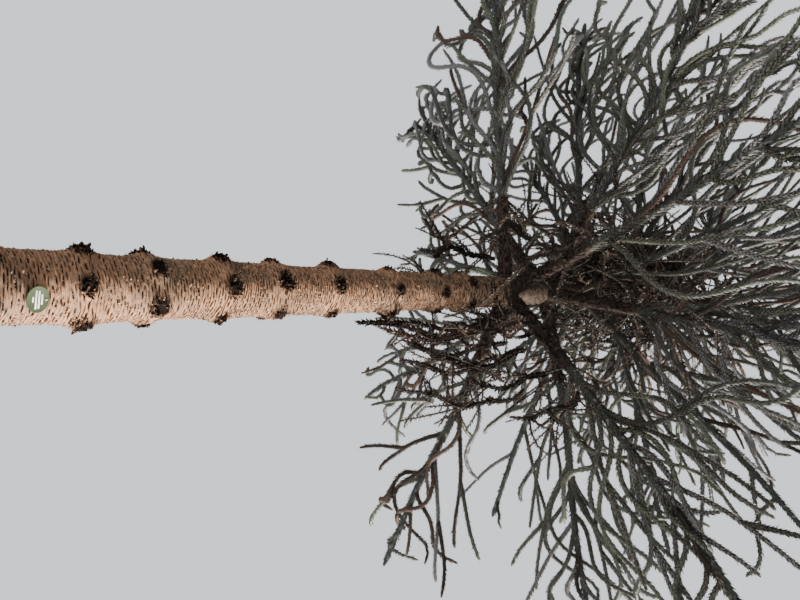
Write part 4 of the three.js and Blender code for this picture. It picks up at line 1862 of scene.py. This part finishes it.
@dataclass(frozen=True)
class Tangle:
    """Dead shoots caught and curled round the trunk in the crown, and dead boughs that hang under it."""

    bole: Bole
    strands: int = 420
    lowest: float = 6.7
    likeliest: float = 8.6
    highest: float = 10.3
    heavy_azimuth: float = 215.0
    heavy_spread: float = 55.0
    heavy_side: float = 0.55
    start_out: tuple = (0.05, 0.45)
    nearest_in: float = 0.03
    least_distance: float = 1e-6
    farthest_out: float = 0.68
    strand_length: tuple = (0.35, 0.85)
    strand_curl: tuple = (1.8, 7.0)
    sinking: float = 0.06
    steps: int = 12
    hanging: tuple = (
        (-8.0, 0.20, 6.25, 1.75),
        (10.0, 0.25, 6.20, 1.50),
        (-24.0, 0.29, 6.25, 1.60),
        (-48.0, 0.33, 6.25, 1.05),
        (2.0, 0.42, 6.30, 1.25),
        (-16.0, 0.52, 6.35, 1.10),
        (16.0, 0.62, 6.40, 1.20),
        (-30.0, 0.74, 6.40, 1.00),
        (-6.0, 0.86, 6.40, 0.95),
        (24.0, 0.96, 6.35, 0.90),
        (-38.0, 1.06, 6.35, 0.75),
        (96.0, 0.40, 6.30, 1.00),
        (152.0, 0.30, 6.30, 0.90),
        (204.0, 0.50, 6.35, 0.80),
        (242.0, 0.60, 6.30, 0.70),
    )
    bow: float = 0.09
    waver: float = 0.03
    waves: float = 9.0
    swing: float = 10.0
    side_strands: int = 7
    side_length: tuple = (0.2, 0.5)
    side_curl: tuple = (0.6, 2.6)
    side_fall: float = 0.5
    seed: int = 83

    def kept_near(self, points: Array) -> Array:
        """Points moved clear of the trunk, and in to the width of the tangle.

        Args:
            points: The points.

        Returns:
            The moved points.
        """
        middle = self.bole.middle(points[:, 2])
        away = points - middle
        distance = np.maximum(np.linalg.norm(away, axis=1), self.least_distance)
        inside = self.bole.radius(points[:, 2], 0.0) + self.nearest_in
        return middle + away * (np.clip(distance, inside, self.farthest_out) / distance)[:, None]

    def curled(self, start: Array, length: tuple, curl: tuple, numbers: np.random.Generator) -> Array:
        """A line that curls evenly round an axis of its own, and sinks a little.

        Args:
            start: Its root.
            length: Least and greatest length.
            curl: Least and greatest turn from end to end, in radians.
            numbers: Source of the random numbers.

        Returns:
            Points along the line.
        """
        step = numbers.uniform(*length) / self.steps
        heading = Vector(numbers.normal(size=3)).normalized()
        turn = Matrix.Rotation(numbers.uniform(*curl) / self.steps, 3, Vector(numbers.normal(size=3)))
        points = [start]
        for _ in range(self.steps):
            heading = (turn @ heading - self.sinking * Vector(UP)).normalized()
            points.append(points[-1] + np.array(heading) * step)
        return np.array(points)

    def ropes(self) -> list[Rope]:
        """Every strand of the tangle, and the hanging boughs with their side strands."""
        numbers = np.random.default_rng(self.seed)
        count = self.strands + len(self.hanging) * (1 + self.side_strands)
        tints = iter(dealt(CAUGHT_SHADED_TINTS, count, numbers))
        found = []
        for _ in range(self.strands):
            height = numbers.triangular(self.lowest, self.likeliest, self.highest)
            azimuth = numbers.uniform(0, 360)
            if numbers.random() < self.heavy_side:
                azimuth = numbers.normal(self.heavy_azimuth, self.heavy_spread)
            start = self.bole.skin(height, azimuth, numbers.uniform(*self.start_out))
            line = self.curled(start, self.strand_length, self.strand_curl, numbers)
            found.append(Rope(self.kept_near(line), ShootKind.DRY.value, next(tints)))
        share = np.linspace(0, 1, self.steps + 1)
        for azimuth, reach, top, length in self.hanging:
            bow = self.bow * np.sin(math.pi * share) + self.waver * np.sin(self.waves * share + azimuth)
            line = polar(reach + bow, azimuth + self.swing * share**2, top - length * share)
            found.append(Rope(line, ShootKind.HANGING.value, next(tints)))
            for _ in range(self.side_strands):
                start = line[numbers.integers(1, self.steps - 1)]
                side = self.curled(start, self.side_length, self.side_curl, numbers)
                side[:, 2] -= self.side_fall * np.linalg.norm(side - start, axis=1)
                found.append(Rope(side, ShootKind.DRY.value, next(tints)))
        return found


@dataclass(frozen=True)
class Foliage:
    """All the masses of foliage, the leading shoot and the dead wood that hangs in the crown."""

    growth: Growth
    bole: Bole
    leader_tip: float = 13.2
    leader_shoots: int = 5
    leader_reach: float = 0.4
    leader_lean: float = 0.045
    leader_azimuth: float = 23.0
    leader_start: float = -0.02
    leader_end: float = -0.04
    leader_points: int = 9
    leader_shoot_start: float = 0.09
    leader_shoot_step: float = 0.045
    leader_shoot_stray: float = 12.0
    leader_shoot_reach: float = 0.97
    pale_leaves: float = 0.08
    seed: int = 71

    def grow(self, name: str, ropes: list[Rope], nodes: list[str]) -> None:
        """Makes the leaves and the wood of some ropes as two pieces.

        Args:
            name: Tag at the end of the pieces' names.
            ropes: The shoots.
            nodes: CAD nodes that they stand for.
        """
        numbers = np.random.default_rng(self.seed + sum(map(ord, name)))
        leaves = [rope.leaves(numbers) for rope in ropes]
        tints = []
        for rope, (_, faces) in zip(ropes, leaves):
            pale = Tint.GREY if rope.tint in LIVE_TINTS else Tint.STRAW
            chances = numbers.random(len(faces) // 2)
            tints += 2 * [pale if chance < self.pale_leaves else rope.tint for chance in chances]
        dress(tinted(f"leaves_{name}", *joined(leaves), tints), "foliage", *nodes)
        twigs = joined([rope.wood() for rope in ropes])
        dress(from_arrays(f"twigs_{name}", *twigs, [Finish.TWIG]), "bough_bark", *nodes)

    def leader_ropes(self) -> list[Rope]:
        """The leading shoot and the short whorl round it."""
        stream = NumberStream(self.growth.seed + 1)
        base = self.bole.middle(self.bole.top) * np.array([1.0, 1.0, 0.0])
        share = np.linspace(0, 1, self.leader_points)
        height = blend(self.bole.top + self.leader_start, self.leader_tip + self.leader_end, share)
        line = polar(self.leader_lean * share**2, self.leader_azimuth, height) + base
        found = [Rope(line, ShootKind.LEADER.value, Tint.GREEN)]
        for k in range(self.leader_shoots):
            turn = stream.between(-self.leader_shoot_stray, self.leader_shoot_stray)
            azimuth = self.leader_azimuth + 360 * k / self.leader_shoots + turn
            foot = self.bole.top + self.leader_shoot_start + self.leader_shoot_step * k
            rise = self.leader_reach * share * (0.5 + 0.5 * share)
            line = polar(self.leader_reach * share * self.leader_shoot_reach, azimuth, foot + rise) + base
            found.append(Rope(line, ShootKind.BESIDE_LEADER.value, LIVE_TINTS[k]))
        return found

    def build(self) -> None:
        """Makes the foliage, whorl by whorl, and the leading shoot."""
        places = self.growth.crown.places()
        self.grow("caught", Tangle(self.bole).ropes(), [])
        for whorl in range(1, len(self.growth.crown.whorl_boughs) + 1):
            masses = [Mass(self.growth, place) for place in places if place.whorl == whorl]
            ropes = [rope for mass in masses for rope in mass.ropes()]
            log.info("whorl %d: %.0f m of shoots", whorl, sum(rope.run()[-1] for rope in ropes))
            self.grow(f"whorl_{whorl}", ropes, [mass.node for mass in masses])
        self.grow("leader", self.leader_ropes(), ["leading_shoot"])


@dataclass(frozen=True)
class BareBough:
    """The bare limb of a low bough, with a collar where it leaves the trunk."""

    crown: Crown
    place: Place
    start: float = 0.06
    end: float = 0.86
    solid_end: float = 0.82
    root_radius: float = 0.056
    tip_radius: float = 0.043
    collar: float = 0.018
    collar_reach: float = 0.15
    half_chord: float = 0.01
    rough: Waves = Waves(0.0035, 23, (4, 9), 0.03)
    lump_depth: float = 0.004
    lump_turns: tuple = (1, 3)
    lump_pitch: float = 0.25
    lump_seed: int = 29
    scales_start: float = 0.11
    scales_points: int = 14
    scales_out_at_root: float = 0.014
    scales_out_at_tip: float = 0.008
    scales_cover: Cover = Cover(0.042, 30.0, 12.0, 1150.0)
    columns: int = 24
    rings: int = 110

    @property
    def tag(self) -> str:
        """Whorl and number of the bough."""
        return f"{self.place.whorl}_{self.place.number}"

    def line(self, distance: Array) -> Array:
        """Points on the bough's middle line."""
        return self.crown.point(self.place.level, distance, self.place.azimuth)

    def build(self) -> None:
        """Makes the limb."""
        side = polar(1.0, self.place.azimuth + 90, 0.0)
        lumps = Waves(self.lump_depth, self.lump_seed + self.place.index, self.lump_turns, self.lump_pitch)

        def surface(turn: Array, ring: Array) -> tuple[Array, dict[str, Array]]:
            """Corners of the limb, with its scaly bark."""
            distance = blend(self.start, self.end, ring / self.rings)
            ahead = self.line(distance + self.half_chord) - self.line(distance - self.half_chord)
            ahead /= np.linalg.norm(ahead, axis=1, keepdims=True)
            up = np.cross(ahead, side)
            share = np.sqrt((distance - self.start) / (self.solid_end - self.start))
            plain = blend(self.root_radius, self.tip_radius, share)
            collar = self.collar * np.exp(-((distance / self.collar_reach) ** 2))
            radius = plain + collar + np.abs(self.rough.at(turn, distance)) + lumps.at(turn, distance)
            across = np.cos(turn)[:, None] * side + np.sin(turn)[:, None] * up
            return self.line(distance) + radius[:, None] * across, {}

        made = rolled_sheet(f"limb_{self.tag}", self.columns, self.rings, surface, Finish.LIMB)
        dress(made, "bough_bark", f"bough_{self.tag}")

    def scales(self) -> Rope:
        """The dead scales that still cling to the limb."""
        points = self.line(np.linspace(self.scales_start, self.end, self.scales_points))
        thick = self.root_radius + self.scales_out_at_root
        thin = self.tip_radius + self.scales_out_at_tip
        return Rope(points, ShootForm(thick, thin, self.scales_cover), Tint.OLD)


@dataclass(frozen=True)
class BareBoughs:
    """All the bare limbs, and the dead scales that still cling to them."""

    growth: Growth
    tints: tuple = (Tint.CHAR, Tint.OLD, Tint.OLD, Tint.RUST)
    seed: int = 3

    def build(self) -> None:
        """Makes the limbs one by one, and their scales as one piece."""
        crown = self.growth.crown
        places = [place for place in crown.places() if place.whorl <= self.growth.bare_whorls]
        boughs = [BareBough(crown, place) for place in places]
        for bough in boughs:
            bough.build()
        numbers = np.random.default_rng(self.seed)
        scales = [bough.scales().leaves(numbers) for bough in boughs]
        tints = [tint for _, faces in scales for tint in 2 * dealt(self.tints, len(faces) // 2, numbers)]
        nodes = [f"bough_{bough.tag}" for bough in boughs]
        dress(tinted("limb_scales", *joined(scales), tints), "bough_bark", *nodes)


# The name plate


@dataclass(frozen=True)
class NamePlate:
    """A blank oval plate with plain pale bars, nailed to the trunk."""

    bole: Bole
    width: float = 0.125
    height: float = 0.093
    thickness: float = 0.004
    stands_off: float = 0.012
    trunk_sides: int = 15
    rim: float = 0.0045
    field_depth: float = 0.0009
    edge_corners: int = 72
    edge_rounding: float = 0.0005
    bars: tuple = (
        (-0.001, 0.0165, 0.048),
        (0.0, 0.0045, 0.082),
        (0.0015, -0.0075, 0.086),
        (0.0, -0.0195, 0.024),
    )
    bar_height: float = 0.0064
    bar_thickness: float = 0.0006
    bar_middle: float = 0.0002
    bar_rounding: float = 0.0002
    bar_tilt: float = 1.0
    nail_level: float = 0.0335
    shank_radius: float = 0.0018
    shank_corners: int = 20
    head_radius: float = 0.0048
    head_thickness: float = 0.0014
    head_middle: float = 0.0003
    head_corners: int = 32
    head_inset: float = 0.35
    head_dome: float = 0.0008
    head_rounding: float = 0.0003
    upright: float = 0.9

    def placed(self, piece: bpy.types.Object) -> bpy.types.Object:
        """Moves a piece from flat on the origin to its place on the trunk, in its mesh.

        Args:
            piece: The piece.

        Returns:
            The same piece.
        """
        out, side = outward_and_aside(PLATE_AZIMUTH)
        foot = self.bole.radius(PLATE_LEVEL, PLATE_AZIMUTH) / math.cos(math.pi / self.trunk_sides)
        origin = self.bole.middle(PLATE_LEVEL) + out * (foot + self.stands_off)
        columns = [*side, 0.0], [0.0, 0.0, 1.0, 0.0], [*out, 0.0], [*origin, 1.0]
        piece.data.transform(Matrix(columns).transposed())
        return piece

    @staticmethod
    def disc(corners: int, radius: float, thickness: float, middle: float) -> bpy.types.Object:
        """A round disc or rod on end, with its middle at a height.

        Args:
            corners: Corners round it.
            radius: Its radius.
            thickness: Its thickness or length.
            middle: Height of its middle.

        Returns:
            The object.
        """
        deselect()
        bpy.ops.mesh.primitive_cylinder_add(vertices=corners, radius=radius, depth=thickness)
        made = bpy.context.object
        made.data.transform(Matrix.Translation((0, 0, middle)))
        return made

    def shape_top(self, piece: bpy.types.Object, insets: tuple, shift: float) -> None:
        """Insets the top face of the piece made last, once or more, and shifts its middle up or down.

        Args:
            piece: The piece.
            insets: Width of each inset.
            shift: How far the middle is shifted.
        """
        select_faces(piece, lambda face: face.normal.z > self.upright)
        bpy.ops.object.mode_set(mode="EDIT")
        for inset in insets:
            bpy.ops.mesh.inset(thickness=inset)
        bpy.ops.transform.translate(value=(0, 0, shift))
        bpy.ops.object.mode_set(mode="OBJECT")

    def plate(self) -> bpy.types.Object:
        """The oval plate with its raised rim."""
        made = self.disc(self.edge_corners, 0.5, self.thickness, self.thickness / 2)
        made.name = "plate_blank"
        made.data.transform(Matrix.Diagonal((self.width, self.height, 1.0, 1.0)))
        self.shape_top(made, (self.rim, self.field_depth), -self.field_depth)
        bevelled(made, self.edge_rounding)
        return made

    def marks(self) -> bpy.types.Object:
        """The plain bars on the plate."""
        middle = self.thickness - self.field_depth + self.bar_middle
        parts = []
        for x, y, length in self.bars:
            deselect()
            bpy.ops.mesh.primitive_cube_add(size=1.0)
            bar = bpy.context.object
            bar.data.transform(Matrix.Diagonal((length, self.bar_height, self.bar_thickness, 1.0)))
            turned = Matrix.Rotation(math.radians(self.bar_tilt), 4, "Z")
            bar.data.transform(Matrix.Translation((x, y, middle)) @ turned)
            bevelled(bar, self.bar_rounding)
            parts.append(bar)
        return joined_pieces("plate_bars", parts)

    def nail(self) -> bpy.types.Object:
        """The nail, with a low domed head on the plate and a shank that runs to the bark."""
        length = self.stands_off + self.thickness
        middle = (self.thickness - self.stands_off) / 2
        shank = self.disc(self.shank_corners, self.shank_radius, length, middle)
        middle = self.thickness + self.head_middle
        head = self.disc(self.head_corners, self.head_radius, self.head_thickness, middle)
        self.shape_top(head, (self.head_radius * self.head_inset,), self.head_dome)
        bevelled(head, self.head_rounding)
        made = joined_pieces("plate_nail", [shank, head])
        made.data.transform(Matrix.Translation((0, self.nail_level, 0)))
        return made

    def build(self) -> None:
        """Makes the plate, its bars and its nail."""
        pieces = (self.plate(), Finish.ENAMEL), (self.marks(), Finish.PAINT), (self.nail(), Finish.METAL)
        for piece, finish in pieces:
            piece.data.materials.clear()
            piece.data.materials.append(MATERIALS.of(finish))
            dress(self.placed(piece), "plate", "name_plate")


# The studio


@dataclass(frozen=True)
class FarLamp:
    """A far, wide and soft lamp, by its azimuth, height over the horizon and width in degrees."""

    name: str
    azimuth: float
    rise: float
    spread: float
    power: float
    colour: tuple

    def hang(self) -> None:
        """Adds the lamp."""
        lamp = bpy.data.lights.new(self.name, "SUN")
        lamp.energy = self.power
        lamp.color = self.colour
        lamp.angle = math.radians(self.spread)
        holder = bpy.data.objects.new(self.name, lamp)
        holder.rotation_mode = "QUATERNION"
        holder.rotation_quaternion = Vector(skyward(self.azimuth, self.rise)).to_track_quat("Z", "Y")
        bpy.context.scene.collection.objects.link(holder)


@dataclass(frozen=True)
class Studio:
    """A pale floor, soft light and the camera that looks up at the crown."""

    pitch: float = 46.0
    lens: float = 29.25
    sensor: float = 36.0
    floor_size: float = 400.0
    colour: tuple = (0.93, 0.955, 1.0)
    light: float = 0.30
    backdrop: float = 1.15
    farthest_seen: float = 500.0
    lamps: tuple = (
        FarLamp("key", -12.0, 9.0, 22.0, 20.0, (1.0, 0.91, 0.81)),
        FarLamp("rim", 70.0, 50.0, 50.0, 4.0, (0.95, 0.97, 1.0)),
    )

    def floor(self) -> None:
        """The pale floor that the tree stands on."""
        deselect()
        bpy.ops.mesh.primitive_plane_add(size=self.floor_size)
        floor = bpy.context.object
        floor.name = "studio_floor"
        floor.data.materials.append(MATERIALS.of(Finish.FLOOR))

    def world(self) -> None:
        """The even soft light from all round, behind which the camera sees a paler backdrop."""
        world = bpy.data.worlds.new("studio_light")
        world.use_nodes = True
        background = world.node_tree.nodes["Background"]
        background.inputs["Color"].default_value = (*self.colour, 1.0)
        seen = world.node_tree.nodes.new("ShaderNodeLightPath")
        strength = world.node_tree.nodes.new("ShaderNodeMath")
        strength.operation = "MULTIPLY_ADD"
        strength.inputs[1].default_value = self.backdrop - self.light
        strength.inputs[2].default_value = self.light
        world.node_tree.links.new(seen.outputs["Is Camera Ray"], strength.inputs[0])
        world.node_tree.links.new(strength.outputs[0], background.inputs["Strength"])
        bpy.context.scene.world = world

    def camera(self) -> None:
        """The camera, held on its side, low down and tilted up."""
        data = bpy.data.cameras.new("camera")
        data.lens = self.lens
        data.sensor_width = self.sensor
        data.clip_end = self.farthest_seen
        camera = bpy.data.objects.new("camera", data)
        bpy.context.scene.collection.objects.link(camera)
        tilt = math.radians(self.pitch)
        right = (0.0, -math.sin(tilt), math.cos(tilt))
        up = (-1.0, 0.0, 0.0)
        back = (0.0, -math.cos(tilt), -math.sin(tilt))
        turn = Matrix((right, up, back)).transposed().to_4x4()
        camera.matrix_world = Matrix.Translation(EYE) @ turn
        bpy.context.scene.camera = camera

    def build(self) -> None:
        """Makes the whole studio."""
        self.floor()
        self.world()
        for lamp in self.lamps:
            lamp.hang()
        self.camera()


def main() -> None:
    """Builds the tree and its studio, and writes down how big they came out."""
    logging.basicConfig(level=logging.INFO, format="%(message)s")
    bole, growth = Bole(), Growth(Crown())
    knots = KnotWhorls().knots()
    Studio().build()
    Bark(bole, knots).build()
    Stubs(bole, knots).build()
    Flakes(bole).build()
    BareBoughs(growth).build()
    Foliage(growth, bole).build()
    NamePlate(bole).build()
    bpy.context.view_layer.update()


if __name__ == "__main__":
    main()
